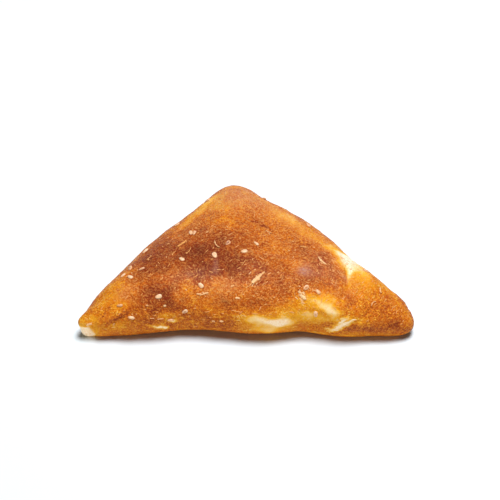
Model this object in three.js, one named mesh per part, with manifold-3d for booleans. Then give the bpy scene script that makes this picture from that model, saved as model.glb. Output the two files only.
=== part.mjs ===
// A bourekas: a square of puff pastry folded corner to corner over its filling, baked brown and
// strewn with sesame. It lies flat on its base, with the folded edge at the front and the two
// cut edges meeting at the back corner. +X runs along the fold, +Y to the back corner, +Z up.
// Every size is in millimetres.

import * as THREE from 'three';
import { mergeVertices } from 'three/addons/utils/BufferGeometryUtils.js';
import Module from 'manifold-3d';

// The triangle seen from above: its corners as if they were sharp, and how far from each one
// the rounding starts
const LEFT_CORNER = new THREE.Vector2(-73.8, 0);
const RIGHT_CORNER = new THREE.Vector2(73.8, 0);
const BACK_CORNER = new THREE.Vector2(-4.6, 82.3);
const LEFT_ROUNDING = 7.5;
const RIGHT_ROUNDING = 8.5;
const BACK_ROUNDING = 14;

// The crown, the highest point of the pastry, and the rim, where it is widest
const CROWN = new THREE.Vector2(-3, 26);
const CROWN_HEIGHT = 28;
const RIM_HEIGHT = 8;

// The rim's height at the left, right and back corners, and the share of a side that it takes
// to come from there to its full height
const CORNER_RIM_HEIGHTS = [8.2, 5.2, 7];
const CORNER_BLEND = 0.25;

// How far the underside draws in below the rim before it meets the table, how much less it does
// so at the left tip, as a share, and over what share of a side
const UNDERCUT = 6;
const LEFT_FOOT = { amount: 0.6, share: 0.05 };
const FOOT_WIDTH = 8;

// How squarely the loaf falls from the crown to the rim: 1 is an ellipse, less is squarer.
// The front is squarer by a share, away from its two ends.
const PLAN_POWER = 0.91;
const FRONT_SQUARENESS = 0.22;
const FRONT_BLEND = 0.2;

// How much flatter the two ends of the fold are than the middle, over what share of a side, and
// how late on the way out from the crown the flattening comes
const LEFT_THINNING = { amount: 0.34, share: 0.2 };
const RIGHT_THINNING = { amount: 0.22, share: 0.16 };
const THINNING_POWER = 3;

// Swells of each side: [share along it, half-width as a share, how far it stands out]
const FRONT_SWELLS = [
  [0.12, 0.07, 0.6], [0.33, 0.12, -0.8], [0.48, 0.05, 0.6], [0.55, 0.07, 0.7],
  [0.67, 0.05, -0.4], [0.8, 0.07, 1.3], [0.92, 0.05, 0.4],
];
const RIGHT_SWELLS = [
  [0.12, 0.1, 4.2], [0.3, 0.13, 2.1], [0.45, 0.06, 0.9], [0.56, 0.12, 3.8], [0.73, 0.06, 1.1],
  [0.84, 0.05, -0.7],
];
const LEFT_SWELLS = [
  [0.22, 0.07, -0.7], [0.44, 0.08, 1.9], [0.55, 0.08, 1.7], [0.66, 0.18, 1.2], [0.88, 0.07, 1.2],
];
const BACK_SIDE_BOW = 0.6;
const SWELL_FADE = 0.08;

// Where the folded edge arches off the table: [share along it, half-width as a share, height]
const ARCHES = [[0.33, 0.13, 1.5], [0.67, 0.06, 1.2]];

// Low bulges of the crust: [x, y, radius, height]
const BULGES = [
  [24, 17, 9, 0.9],
  [-20, 12, 8, 0.7],
  [-34, 28, 11, 0.6],
  [12, 42, 7, -0.5],
  [20, 46, 6, 0.7],
  [52, 13, 8, 0.9],
  [-56, 13, 7, 0.7],
  [-3, 62, 7, 0.5],
  [-71.5, 3, 4, 0.8],
  [66, 8, 6, 0.7],
];

// Long shallow waves of the crust: [wavelength, heading in degrees, start in degrees, height]
const WAVES = [[47, 20, 40, 0.45], [31, 95, 160, 0.3], [21, 145, 250, 0.22]];
const WAVES_START = 2;
const WAVES_FULL = 10;

// Creases. Each follows a path of [x, y, z, depth] and has a half-width.
const TIP_NOTCH = {
  halfWidth: 1.6,
  path: [[-64.5, -1.5, 0, 1.5], [-65, -0.5, 7, 1.8], [-63, 2, 11.5, 1.2], [-53, 8, 18, 0.2]],
};
const UNDER_TIP_LOBE = {
  halfWidth: 1.7,
  path: [[-66, 0, 4, 0.3], [-70, 2.5, 4.5, 0.6], [-69.5, 6, 4, 0.6], [-64, 13, 4, 0.2]],
};
const LEFT_FOLD = {
  halfWidth: 1.3,
  path: [[-61, 0, 8, 0.6], [-56.5, 0.5, 11, 1], [-49, 3.5, 16, 0.8], [-44, 7, 18, 0]],
};
const LEFT_FLAP_EDGE = {
  halfWidth: 1.1,
  path: [[-48, 1.5, 13, 0.2], [-45.5, 0.5, 11, 0.6], [-43, 0, 6.5, 0.4]],
};
const BACK_CREASE = {
  halfWidth: 1.4,
  path: [[-2, 49, 26, 0.3], [2, 45, 26, 0.8], [7.5, 41.5, 26, 0.9], [13, 36, 26, 0.5], [34, 28, 23, 0.2]],
};
const RIGHT_LOBE_EDGE = {
  halfWidth: 1.6,
  path: [[41, 32, 16, 0.5], [42.5, 22, 21, 1], [43, 14, 22, 0.9], [39.5, 5, 19, 0.6], [36, 0, 12, 0.2]],
};
const RIGHT_LIP = {
  halfWidth: 1.4,
  path: [[34, 0, 7, 0.2], [40.5, 0, 11.5, 1.2], [50, 1.5, 14.5, 0.8], [55, 5, 17.5, 0.1]],
};
const FRONT_HOLLOW = {
  halfWidth: 3.2,
  path: [[-22, 4.5, 18, 0], [-8, 4, 19, 0.8], [8, 4, 19, 0.8], [22, 4.5, 19, 0]],
};
const CREASES = [
  TIP_NOTCH, UNDER_TIP_LOBE, LEFT_FOLD, LEFT_FLAP_EDGE, BACK_CREASE, RIGHT_LOBE_EDGE, RIGHT_LIP,
  FRONT_HOLLOW,
];

// Edges of the layers of dough. Each follows a path of [x, y, z, height], stands up to the left
// of it and dies away by half with each reach behind it.
const LAYER_LIP = 2;
const CROWN_FLAP = {
  reach: 5,
  path: [
    [42.4, 0, 16.5, 0], [39.8, 5.4, 21.7, 0.35], [43, 13, 22.1, 0.5],
    [42.3, 18.7, 22.3, 0.6], [38.9, 29.8, 20.5, 0.5], [36, 36, 18, 0],
  ],
};
const WHITE_LIP = {
  reach: 3,
  path: [
    [34, -0.2, 6.8, 0.1], [40.5, -0.6, 10.8, 0.6], [44.5, -0.6, 14.3, 0.5], [52.9, 1, 15.7, 0.3],
    [56.3, 4.8, 17.7, 0],
  ],
};
const LEFT_LAYER = {
  reach: 3,
  path: [
    [-60.6, 0, 6.3, 0.2], [-56.6, 1, 10.6, 0.6], [-53, 1.6, 13.5, 0.6], [-49.6, 2.4, 15.9, 0.4],
    [-46.6, 3.4, 18.1, 0],
  ],
};
const LEFT_FLAP = {
  reach: 3,
  path: [[-42.3, 0, 7.7, 0.1], [-45.9, 0.3, 11.6, 0.4], [-48.3, 0.9, 14.4, 0.3], [-49.5, 2, 16, 0]],
};
const TIP_LOBE = {
  reach: 3,
  path: [
    [-53, 8.8, 19.3, 0], [-58.1, 5.5, 16, 0.3], [-62.9, 2.7, 11.9, 0.7], [-65.1, 1.6, 9.9, 1.1],
    [-64.5, 1.2, 6.5, 1.1], [-63.8, 1, 2, 0.6],
  ],
};
const BACK_BAND = {
  reach: 4,
  path: [
    [-1.3, 49.9, 25.6, 0], [4.7, 44.5, 24.7, 0.55], [8.6, 41.4, 24.5, 0.5], [12.8, 36.7, 25.4, 0.3],
    [29.4, 29.4, 23.7, 0.15], [34.8, 25.2, 23.6, 0],
  ],
};
const LAYERS = [CROWN_FLAP, WHITE_LIP, LEFT_LAYER, LEFT_FLAP, TIP_LOBE, BACK_BAND];

// The seam where the two leaves of dough meet, along the cut edges only. It wavers up and down,
// and gapes and closes by a share of its depth.
const SEAM_HEIGHT = 8.5;
const SEAM_WAVER = 0.6;
const SEAM_WAVELENGTH = 37;
const SEAM_HALF_WIDTH = 1.3;
const SEAM_DEPTH = 1.2;
const SEAM_GAPE = 0.4;
const SEAM_GAPE_LENGTH = 23;
const SEAM_START = 4;
const SEAM_FULL = 12;

// Sesame seeds: [x, y, turn in degrees seen from above]
const SEED_LENGTH = 3;
const SEED_WIDTH = 1.8;
const SEED_THICKNESS = 1;
const SEED_TAPER = 0.28;
const SEEDS = [
  [-23.7, 38.4, 100], [-22.2, 37.9, 82], [-27.1, 22, -40], [-13.2, 23.1, 110], [-7.7, 29.5, 50],
  [-0.8, 24.5, 12], [4.3, 29.2, -45], [-18.9, 9.7, -45], [-36.6, 5.7, 18], [-43.2, 32.9, 35],
  [-49.2, 22.4, 100], [-52.1, 18.6, 30], [-48.9, 16.3, -40], [-44.2, 19.9, 12], [-53, 4.2, 5],
  [-48.2, 0.55, -30], [-25.7, 2.4, 60], [-31.9, 1.05, -8], [25.1, 8.5, 40], [30.1, 7.3, -50],
  [29.3, 1.2, 85], [-30, 47.5, 30], [-17, 61, -20], [8, 64, 75], [27, 47.5, -60], [51, 22, 15],
];

// Flakes of loose crust and hull: [x, y, turn in degrees, length, width]
const FLAKE_THICKNESS = 0.9;
const FLAKES = [
  [4.8, 12.2, 44, 5.8, 2], [-18.2, 6.7, 5, 3.4, 1], [23.4, 5.9, -43, 3.8, 1.5],
  [31.9, 22.3, -42, 4.6, 0.9], [-27.2, 32, 40, 5, 1], [-12.6, 28.6, -60, 4.4, 0.8],
  [56.8, 12.5, 95, 3, 0.9], [-66.1, 0.6, 55, 3, 1.3],
];

// How finely the skin is faceted: spans from crown to rim, stretches in all, rings below the rim
const SPANS = 30;
const SIDE_COUNT = 3;
const STRETCHES_PER_SIDE = 2;
const STRETCHES = SIDE_COUNT * STRETCHES_PER_SIDE;
const RINGS_BELOW_RIM = 6;
const SEED_FACETS_AROUND = 6;
const SEED_FACETS_ALONG = 3;

// How much closer than evenly spread the points stand near the ends of a side, as a share
const CROWDING = 0.4;

// How far above the crown the search for the skin under a seed starts
const HEADROOM = 10;

const CRUST = new THREE.MeshStandardMaterial({ color: 0xc9742f, roughness: 0.5, metalness: 0 });

const RIGHT_ANGLE = Math.PI / 2;
const HALF = 0.5;

function bell(distance, halfWidth) {
  return Math.exp(-((distance / halfWidth) ** 2));
}

// One side of the outline. Its swells die away at the corners, which are rounded afterwards.
class SideLine extends THREE.Curve {
  constructor(from, to, bow, swells) {
    super();
    this.from = from;
    this.to = to;
    this.bow = bow;
    this.swells = swells;
    this.span = from.distanceTo(to);
  }

  getPoint(share) {
    const along = this.to.clone().sub(this.from);
    const outwards = new THREE.Vector2(along.y, -along.x).normalize();
    let offset = 4 * this.bow * share * (1 - share);
    for (const [at, halfWidth, height] of this.swells) {
      offset += height * bell(share - at, halfWidth);
    }
    offset *= Math.min(share / SWELL_FADE, (1 - share) / SWELL_FADE, 1);
    return this.from.clone().addScaledVector(along, share).addScaledVector(outwards, offset);
  }
}

// A corner drawn as a quadratic curve from the side that comes in to the side that goes out
function roundedCorner(incoming, outgoing, rounding) {
  const start = incoming.getPoint(1 - rounding / incoming.span);
  const end = outgoing.getPoint(rounding / outgoing.span);
  return new THREE.QuadraticBezierCurve(start, incoming.to, end);
}

// A whole side: half of the corner before it, its own line, and half of the corner after it
class RoundedSide extends THREE.Curve {
  constructor(line, cornerBefore, cornerAfter, roundingBefore, roundingAfter) {
    super();
    this.line = line;
    this.cornerBefore = cornerBefore;
    this.cornerAfter = cornerAfter;
    this.first = roundingBefore / line.span;
    this.last = 1 - roundingAfter / line.span;
  }

  getPoint(share) {
    if (share < this.first) {
      return this.cornerBefore.getPoint(HALF * (1 + share / this.first));
    }
    if (share > this.last) {
      return this.cornerAfter.getPoint(HALF * (share - this.last) / (1 - this.last));
    }
    return this.line.getPoint(share);
  }
}

// The front, right and left sides, anticlockwise seen from above
function outlineSides() {
  const front = new SideLine(LEFT_CORNER, RIGHT_CORNER, 0, FRONT_SWELLS);
  const right = new SideLine(RIGHT_CORNER, BACK_CORNER, BACK_SIDE_BOW, RIGHT_SWELLS);
  const left = new SideLine(BACK_CORNER, LEFT_CORNER, BACK_SIDE_BOW, LEFT_SWELLS);
  const leftEnd = roundedCorner(left, front, LEFT_ROUNDING);
  const rightEnd = roundedCorner(front, right, RIGHT_ROUNDING);
  const backEnd = roundedCorner(right, left, BACK_ROUNDING);
  return [
    new RoundedSide(front, leftEnd, rightEnd, LEFT_ROUNDING, RIGHT_ROUNDING),
    new RoundedSide(right, rightEnd, backEnd, RIGHT_ROUNDING, BACK_ROUNDING),
    new RoundedSide(left, backEnd, leftEnd, BACK_ROUNDING, LEFT_ROUNDING),
  ];
}

const FRONT = 0;
const RIGHT = 1;
const SIDES = outlineSides();

// How far a place on the rim is from the left and the right end of the fold, as a share of a side
function sharesFromEnds(side, share) {
  if (side === FRONT) {
    return [share, 1 - share];
  }
  return side === RIGHT ? [1, share] : [1 - share, 1];
}

// Each side starts at the corner that has its number, and ends at the next one
function rimHeight(side, share) {
  const corner = share < HALF ? side : (side + 1) % SIDE_COUNT;
  const middle = THREE.MathUtils.smoothstep(Math.min(share, 1 - share), 0, CORNER_BLEND);
  return THREE.MathUtils.lerp(CORNER_RIM_HEIGHTS[corner], RIM_HEIGHT, middle);
}

function frontness(side, share) {
  if (side !== FRONT) {
    return 0;
  }
  return THREE.MathUtils.smoothstep(Math.min(share, 1 - share), 0, FRONT_BLEND);
}

// A point of the upper skin, where reach runs from 0 at the crown to 1 at the rim
function upperPoint(side, share, reach) {
  const rim = SIDES[side].getPointAt(share);
  const squareness = 1 - FRONT_SQUARENESS * frontness(side, share);
  const turn = reach * RIGHT_ANGLE;
  const spread = Math.sin(turn) ** (PLAN_POWER * squareness);
  const rise = Math.max(Math.cos(turn), 0) ** squareness;
  const [fromLeft, fromRight] = sharesFromEnds(side, share);
  const thinning = LEFT_THINNING.amount * bell(fromLeft, LEFT_THINNING.share)
    + RIGHT_THINNING.amount * bell(fromRight, RIGHT_THINNING.share);
  const dome = (CROWN_HEIGHT - RIM_HEIGHT) * rise * (1 - thinning * spread ** THINNING_POWER);
  const edge = THREE.MathUtils.lerp(RIM_HEIGHT, rimHeight(side, share), spread);
  const plan = CROWN.clone().lerp(rim, spread);
  return new THREE.Vector3(plan.x, plan.y, dome + edge);
}

function archHeight(side, share) {
  if (side !== FRONT) {
    return 0;
  }
  return ARCHES.reduce((sum, [at, halfWidth, height]) => sum + height * bell(share - at, halfWidth), 0);
}

function undercut(side, share) {
  const [fromLeft] = sharesFromEnds(side, share);
  return UNDERCUT * (1 - LEFT_FOOT.amount * bell(fromLeft, LEFT_FOOT.share));
}

// A point below the rim, where drop runs from 0 at the rim to 1 where the underside is level
function lowerPoint(side, share, drop) {
  const rim = SIDES[side].getPointAt(share);
  const inset = undercut(side, share) * (1 - Math.cos(drop * RIGHT_ANGLE));
  const plan = rim.clone().add(CROWN.clone().sub(rim).setLength(inset));
  const foot = archHeight(side, share);
  const height = THREE.MathUtils.lerp(rimHeight(side, share), foot, Math.sin(drop * RIGHT_ANGLE));
  return new THREE.Vector3(plan.x, plan.y, height);
}

function footPoint(side, share) {
  const rim = SIDES[side].getPointAt(share);
  const inset = undercut(side, share) + FOOT_WIDTH;
  const plan = rim.clone().add(CROWN.clone().sub(rim).setLength(inset));
  return new THREE.Vector3(plan.x, plan.y, 0);
}

// A ring with the same number of points on every stretch, made by a function of side and share
function ringOf(pointsPerStretch, pointAt) {
  const ring = [];
  for (let i = 0; i < STRETCHES * pointsPerStretch; i += 1) {
    const place = i / pointsPerStretch / STRETCHES_PER_SIDE;
    const side = Math.floor(place);
    const evenShare = place - side;
    const share = evenShare - CROWDING * Math.sin(2 * Math.PI * evenShare) / (2 * Math.PI);
    ring.push(pointAt(side, share));
  }
  return ring;
}

// The rings from the crown over the rim to the middle of the base. Each ring above the rim has
// one point more on every stretch than the ring inside it, so the facets keep near one size.
function skinRings() {
  const rings = [[upperPoint(FRONT, 0, 0)]];
  for (let span = 1; span <= SPANS; span += 1) {
    rings.push(ringOf(span, (side, share) => upperPoint(side, share, span / SPANS)));
  }
  for (let ring = 1; ring <= RINGS_BELOW_RIM; ring += 1) {
    rings.push(ringOf(SPANS, (side, share) => lowerPoint(side, share, ring / RINGS_BELOW_RIM)));
  }
  rings.push(ringOf(SPANS, footPoint));
  rings.push([new THREE.Vector3(CROWN.x, CROWN.y, 0)]);
  return rings;
}

// The triangles between a ring and the next one out, which is as long or longer by one point a
// stretch. Where a ring is a single point, it belongs to every stretch.
function facesBetween(inner, outer, innerStart, outerStart) {
  const indexIn = (ring, start, stretch, i) => (
    ring.length === 1 ? start : start + (stretch * ring.length / STRETCHES + i) % ring.length
  );
  const faces = [];
  for (let stretch = 0; stretch < STRETCHES; stretch += 1) {
    const innerAt = (i) => indexIn(inner, innerStart, stretch, i);
    const outerAt = (i) => indexIn(outer, outerStart, stretch, i);
    for (let i = 0; i < outer.length / STRETCHES && outer.length > 1; i += 1) {
      faces.push(innerAt(i), outerAt(i), outerAt(i + 1));
    }
    for (let i = 0; i < inner.length / STRETCHES && inner.length > 1; i += 1) {
      faces.push(innerAt(i), outerAt(i + 1), innerAt(i + 1));
    }
  }
  return faces;
}

// The smooth skin, before its relief
function skinGeometry() {
  const rings = skinRings();
  const faces = [];
  let start = 0;
  for (let i = 1; i < rings.length; i += 1) {
    const nextStart = start + rings[i - 1].length;
    faces.push(...facesBetween(rings[i - 1], rings[i], start, nextStart));
    start = nextStart;
  }
  const geometry = new THREE.BufferGeometry().setFromPoints(rings.flat());
  geometry.setIndex(faces);
  return geometry;
}

// The nearest place of a path to a point: the step from it to the point, the path's heading
// there and the path's value, its fourth number
function nearestOnPath(point, path) {
  let nearest = { distance: Infinity };
  for (let i = 1; i < path.length; i += 1) {
    const [startX, startY, startZ, startValue] = path[i - 1];
    const [endX, endY, endZ, endValue] = path[i];
    const start = new THREE.Vector3(startX, startY, startZ);
    const end = new THREE.Vector3(endX, endY, endZ);
    const stretch = new THREE.Line3(start, end);
    const share = stretch.closestPointToPointParameter(point, true);
    const step = point.clone().sub(stretch.at(share, new THREE.Vector3()));
    const distance = step.length();
    if (distance < nearest.distance) {
      const heading = stretch.delta(new THREE.Vector3()).normalize();
      nearest = { distance, step, heading, value: THREE.MathUtils.lerp(startValue, endValue, share) };
    }
  }
  return nearest;
}

// How deep one crease is at a point: its depth at the nearest place of its path, less with distance
function creaseDepth(point, { halfWidth, path }) {
  const { distance, value } = nearestOnPath(point, path);
  return value * bell(distance, halfWidth);
}

// How high one layer stands at a point: nothing before its edge, full height behind its lip,
// then less with distance
function layerHeight(point, outwards, { reach, path }) {
  const { distance, step, heading, value } = nearestOnPath(point, path);
  const behind = step.dot(outwards.clone().cross(heading));
  const edge = THREE.MathUtils.smoothstep(behind, -LAYER_LIP / 2, LAYER_LIP / 2);
  return value * edge * HALF ** (distance / reach);
}

function waveHeight(point) {
  let height = 0;
  for (const [wavelength, heading, start, amplitude] of WAVES) {
    const direction = THREE.MathUtils.degToRad(heading);
    const along = point.x * Math.cos(direction) + point.y * Math.sin(direction);
    const phase = 2 * Math.PI * along / wavelength + THREE.MathUtils.degToRad(start);
    height += amplitude * Math.sin(phase);
  }
  return height * THREE.MathUtils.smoothstep(point.z, WAVES_START, WAVES_FULL);
}

function bulgeHeight(point) {
  const upward = THREE.MathUtils.smoothstep(point.z, WAVES_START, WAVES_FULL);
  return BULGES.reduce((sum, [x, y, radius, height]) => (
    sum + upward * height * bell(Math.hypot(point.x - x, point.y - y), radius)
  ), 0);
}

function seamDepth(point) {
  const alongCutEdges = THREE.MathUtils.smoothstep(point.y, SEAM_START, SEAM_FULL);
  const height = SEAM_HEIGHT + SEAM_WAVER * Math.sin(2 * Math.PI * point.x / SEAM_WAVELENGTH);
  const gape = 1 + SEAM_GAPE * Math.sin(2 * Math.PI * point.y / SEAM_GAPE_LENGTH);
  return SEAM_DEPTH * alongCutEdges * gape * bell(point.z - height, SEAM_HALF_WIDTH);
}

// How far the skin stands out from its smooth form at a point
function relief(point, outwards) {
  const creases = CREASES.reduce((sum, crease) => sum + creaseDepth(point, crease), 0);
  const layers = LAYERS.reduce((sum, layer) => sum + layerHeight(point, outwards, layer), 0);
  return waveHeight(point) + bulgeHeight(point) + layers - seamDepth(point) - creases;
}

// Moves every point of the skin along its normal by the relief there, and keeps the base level
function addRelief(geometry) {
  geometry.computeVertexNormals();
  const { position, normal } = geometry.attributes;
  const point = new THREE.Vector3();
  const outwards = new THREE.Vector3();
  for (let i = 0; i < position.count; i += 1) {
    point.fromBufferAttribute(position, i);
    outwards.fromBufferAttribute(normal, i);
    if (point.z > 0) {
      point.addScaledVector(outwards, relief(point, outwards));
    }
    position.setXYZ(i, point.x, point.y, Math.max(point.z, 0));
  }
  return geometry;
}

// A flattened drop lying along X: a squat ball, wider at one end than at the other
function dropGeometry(length, width, thickness) {
  const drop = new THREE.SphereGeometry(HALF, SEED_FACETS_AROUND, SEED_FACETS_ALONG);
  drop.rotateZ(RIGHT_ANGLE);
  const { position } = drop.attributes;
  for (let i = 0; i < position.count; i += 1) {
    const widening = 1 + 2 * SEED_TAPER * position.getX(i);
    position.setY(i, position.getY(i) * widening);
  }
  return drop.scale(length, width, thickness);
}

// Lays a geometry on the upper skin at (x, y), turned in the skin's own plane
function layOnSkin(geometry, skin, x, y, turn) {
  const above = new THREE.Vector3(x, y, CROWN_HEIGHT + HEADROOM);
  const caster = new THREE.Raycaster(above, new THREE.Vector3(0, 0, -1));
  const [hit] = caster.intersectObject(skin);
  const upright = new THREE.Quaternion().setFromUnitVectors(new THREE.Vector3(0, 0, 1), hit.face.normal);
  const turned = new THREE.Quaternion().setFromAxisAngle(hit.face.normal, THREE.MathUtils.degToRad(turn));
  return geometry.applyQuaternion(turned.multiply(upright)).translate(...hit.point);
}

const wasm = await Module();
wasm.setup();

function solidFrom(geometry) {
  const bare = new THREE.BufferGeometry();
  bare.setAttribute('position', geometry.attributes.position.clone());
  bare.setIndex(geometry.index);
  const merged = mergeVertices(bare);
  const vertProperties = new Float32Array(merged.attributes.position.array);
  const triVerts = new Uint32Array(merged.index.array);
  return new wasm.Manifold(new wasm.Mesh({ numProp: 3, vertProperties, triVerts }));
}

function geometryFrom(solid) {
  const { vertProperties, triVerts } = solid.getMesh();
  const geometry = new THREE.BufferGeometry();
  geometry.setAttribute('position', new THREE.BufferAttribute(vertProperties, 3));
  geometry.setIndex(new THREE.BufferAttribute(triVerts, 1));
  geometry.computeVertexNormals();
  return geometry;
}

// The whole pastry: its skin with every seed and flake baked on
function pastryGeometry() {
  const skinShape = addRelief(skinGeometry());
  const skin = new THREE.Mesh(skinShape, CRUST);
  let pastry = solidFrom(skinShape);
  for (const [x, y, turn] of SEEDS) {
    const seed = dropGeometry(SEED_LENGTH, SEED_WIDTH, SEED_THICKNESS);
    pastry = pastry.add(solidFrom(layOnSkin(seed, skin, x, y, turn)));
  }
  for (const [x, y, turn, length, width] of FLAKES) {
    const flake = dropGeometry(length, width, FLAKE_THICKNESS);
    pastry = pastry.add(solidFrom(layOnSkin(flake, skin, x, y, turn)));
  }
  return geometryFrom(pastry);
}

// The origin is under the middle of the pastry's box, on the table
function centred(geometry) {
  geometry.computeBoundingBox();
  const middle = geometry.boundingBox.getCenter(new THREE.Vector3());
  return geometry.translate(-middle.x, -middle.y, -geometry.boundingBox.min.z);
}

const pastry = new THREE.Mesh(centred(pastryGeometry()), CRUST);
pastry.name = 'pastry';

const bourekas = new THREE.Group();
bourekas.add(pastry);

export default bourekas;
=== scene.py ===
"""The looks of a bourekas: a baked triangle of puff pastry with sesame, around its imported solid.

Sizes are millimetres in the pastry's own plan, where y is 0 along the folded edge, x is 0 near
its middle and z is 0 on the table. Meshes are moved into the frame and scaled to metres last.
"""

import functools
import itertools
import logging
import math
from dataclasses import dataclass, field
from enum import Enum

import bpy
import numpy as np
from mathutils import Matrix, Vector
from mathutils.bvhtree import BVHTree


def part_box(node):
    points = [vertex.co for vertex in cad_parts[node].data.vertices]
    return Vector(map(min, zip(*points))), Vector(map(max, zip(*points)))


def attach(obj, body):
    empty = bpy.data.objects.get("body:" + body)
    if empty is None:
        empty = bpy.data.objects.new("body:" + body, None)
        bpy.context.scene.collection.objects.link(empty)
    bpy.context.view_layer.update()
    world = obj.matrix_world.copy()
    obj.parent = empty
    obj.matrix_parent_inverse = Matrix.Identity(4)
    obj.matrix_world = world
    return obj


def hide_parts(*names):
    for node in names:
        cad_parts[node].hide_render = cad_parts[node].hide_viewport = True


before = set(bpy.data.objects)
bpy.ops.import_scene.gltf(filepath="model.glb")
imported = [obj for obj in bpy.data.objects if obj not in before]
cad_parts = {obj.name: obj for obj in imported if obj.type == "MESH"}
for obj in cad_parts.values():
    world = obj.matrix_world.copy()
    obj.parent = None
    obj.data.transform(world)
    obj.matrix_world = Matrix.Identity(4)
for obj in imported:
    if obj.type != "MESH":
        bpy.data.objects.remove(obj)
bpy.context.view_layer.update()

Array = np.ndarray
Colour = tuple[float, float, float]
Place = tuple[float, float, float]
Span = tuple[float, float]
Numbers = tuple[float, ...]
Stops = tuple[tuple[float, Colour], ...]

MM = 0.001
TURN = 2 * math.pi
TINY = 1e-12
NOISE_TABLE_SIZE = 64
BODY = "root"
PASTRY_NODE = "pastry"
LOG = logging.getLogger("bourekas")


class Side(Enum):
    """The three sides of the pastry, anticlockwise seen from above."""

    FRONT = 0
    RIGHT = 1
    LEFT = 2


def each(kind: type, *rows: tuple) -> tuple:
    """One object of the kind for each row of its values."""
    return tuple(kind(*row) for row in rows)


def bell(distance: Array | float, half_width: float) -> Array | float:
    """The exponential of minus the square of distance over half-width."""
    return np.exp(-((distance / half_width) ** 2))


def smoothstep(value: Array, low: float, high: float) -> Array:
    """0 below low, 1 above high, and 3t squared minus 2t cubed between them."""
    share = np.clip((value - low) / (high - low), 0.0, 1.0)
    return share * share * (3 - 2 * share)


def turned(points: Array, degrees: float) -> tuple[Array, Array]:
    """How far each place lies along a level heading, and how far to its left.

    Args:
        points: Places, one row each.
        degrees: The heading's turn from x towards y.

    Returns:
        The distances along and across, from the heading's cosine and sine.
    """
    cosine, sine = math.cos(math.radians(degrees)), math.sin(math.radians(degrees))
    x, y = points[:, 0], points[:, 1]
    return x * cosine + y * sine, y * cosine - x * sine


def band(first: int, following: int, count: int) -> Array:
    """Two triangles for each place between two closed rows of points.

    Args:
        first: The number of the first row's first point.
        following: The number of the next row's first point.
        count: How many points each row has.

    Returns:
        The triangles, facing outwards.
    """
    column = np.arange(count)
    beside = (column + 1) % count
    near = np.column_stack([first + column, following + column, following + beside])
    far = np.column_stack([first + column, following + beside, first + beside])
    return np.vstack([near, far])


def fan(first: int, hub: int, count: int) -> Array:
    """A triangle for each place of a closed last row and the hub beyond it."""
    column = np.arange(count)
    return np.column_stack([first + column, np.full(count, hub), first + (column + 1) % count])


@dataclass(frozen=True)
class SpaceNoise:
    """Smooth random heights in space, the same on each run."""

    cell: float
    seed: int
    height: float = 1.0

    def at(self, points: Array) -> Array:
        """Blends the seeded values at the eight corners of each point's cell.

        Args:
            points: Places, one row each.

        Returns:
            A value from minus the height to the height for each place.
        """
        table = np.random.default_rng(self.seed).uniform(-1, 1, (NOISE_TABLE_SIZE,) * 3)
        scaled = points / self.cell
        corner = np.floor(scaled).astype(int)
        share = scaled - corner
        share = share * share * (3 - 2 * share)
        total = np.zeros(len(points))
        for offset in itertools.product((0, 1), repeat=3):
            weight = np.prod(np.where(np.array(offset) == 1, share, 1 - share), axis=1)
            i, j, k = ((corner + offset) % NOISE_TABLE_SIZE).T
            total += weight * table[i, j, k]
        return self.height * total


@dataclass(frozen=True)
class Wander:
    """Pushes places about, by one noise for each direction."""

    cell: float
    first_seed: int
    amount: float

    def push(self, points: Array) -> Array:
        """How far each place is pushed: three noises whose seeds follow each other."""
        noises = (SpaceNoise(self.cell, self.first_seed + step, self.amount) for step in range(3))
        return np.column_stack([noise.at(points) for noise in noises])


@dataclass(frozen=True)
class Swell:
    """A place where a line or surface stands out, dying away like a bell."""

    at: float
    half_width: float
    height: float

    def rise(self, share: Array) -> Array:
        """The height times the bell of the distance from the swell's middle."""
        return self.height * bell(share - self.at, self.half_width)


@dataclass(frozen=True)
class SideLine:
    """One side of the outline before its corners are rounded."""

    start: tuple[float, float]
    end: tuple[float, float]
    bow: float
    swells: tuple[Swell, ...]
    fade: float = 0.08

    @property
    def span(self) -> float:
        """The straight distance from corner to corner."""
        return math.dist(self.start, self.end)

    def points(self, share: Array) -> Array:
        """The straight line, moved outwards by a parabola and by swells that fade at the corners.

        Args:
            share: Places along the side, from 0 to 1.

        Returns:
            Plan points, one row for each place.
        """
        along = np.subtract(self.end, self.start)
        outwards = np.array([along[1], -along[0]]) / self.span
        offset = 4 * self.bow * share * (1 - share)
        offset += sum(swell.rise(share) for swell in self.swells)
        offset *= np.clip(np.minimum(share, 1 - share) / self.fade, 0, 1)
        return np.array(self.start) + np.outer(share, along) + np.outer(offset, outwards)


@dataclass(frozen=True)
class RimPlaces:
    """Places round the outline: the number of each one's side, and its share of that side."""

    side: Array
    share: Array

    def on(self, side: Side) -> Array:
        """Whether each place is on the side."""
        return self.side == side.value

    def from_end(self) -> Array:
        """How far each place is from the nearer end of its side."""
        return np.minimum(self.share, 1 - self.share)

    def from_left(self) -> Array:
        """How far along its side each place is from the left corner, 1 on the other side."""
        sides = [self.on(Side.FRONT), self.on(Side.LEFT)]
        return np.select(sides, [self.share, 1 - self.share], 1.0)

    def from_right(self) -> Array:
        """How far along its side each place is from the right corner, 1 on the other side."""
        sides = [self.on(Side.FRONT), self.on(Side.RIGHT)]
        return np.select(sides, [1 - self.share, self.share], 1.0)


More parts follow.
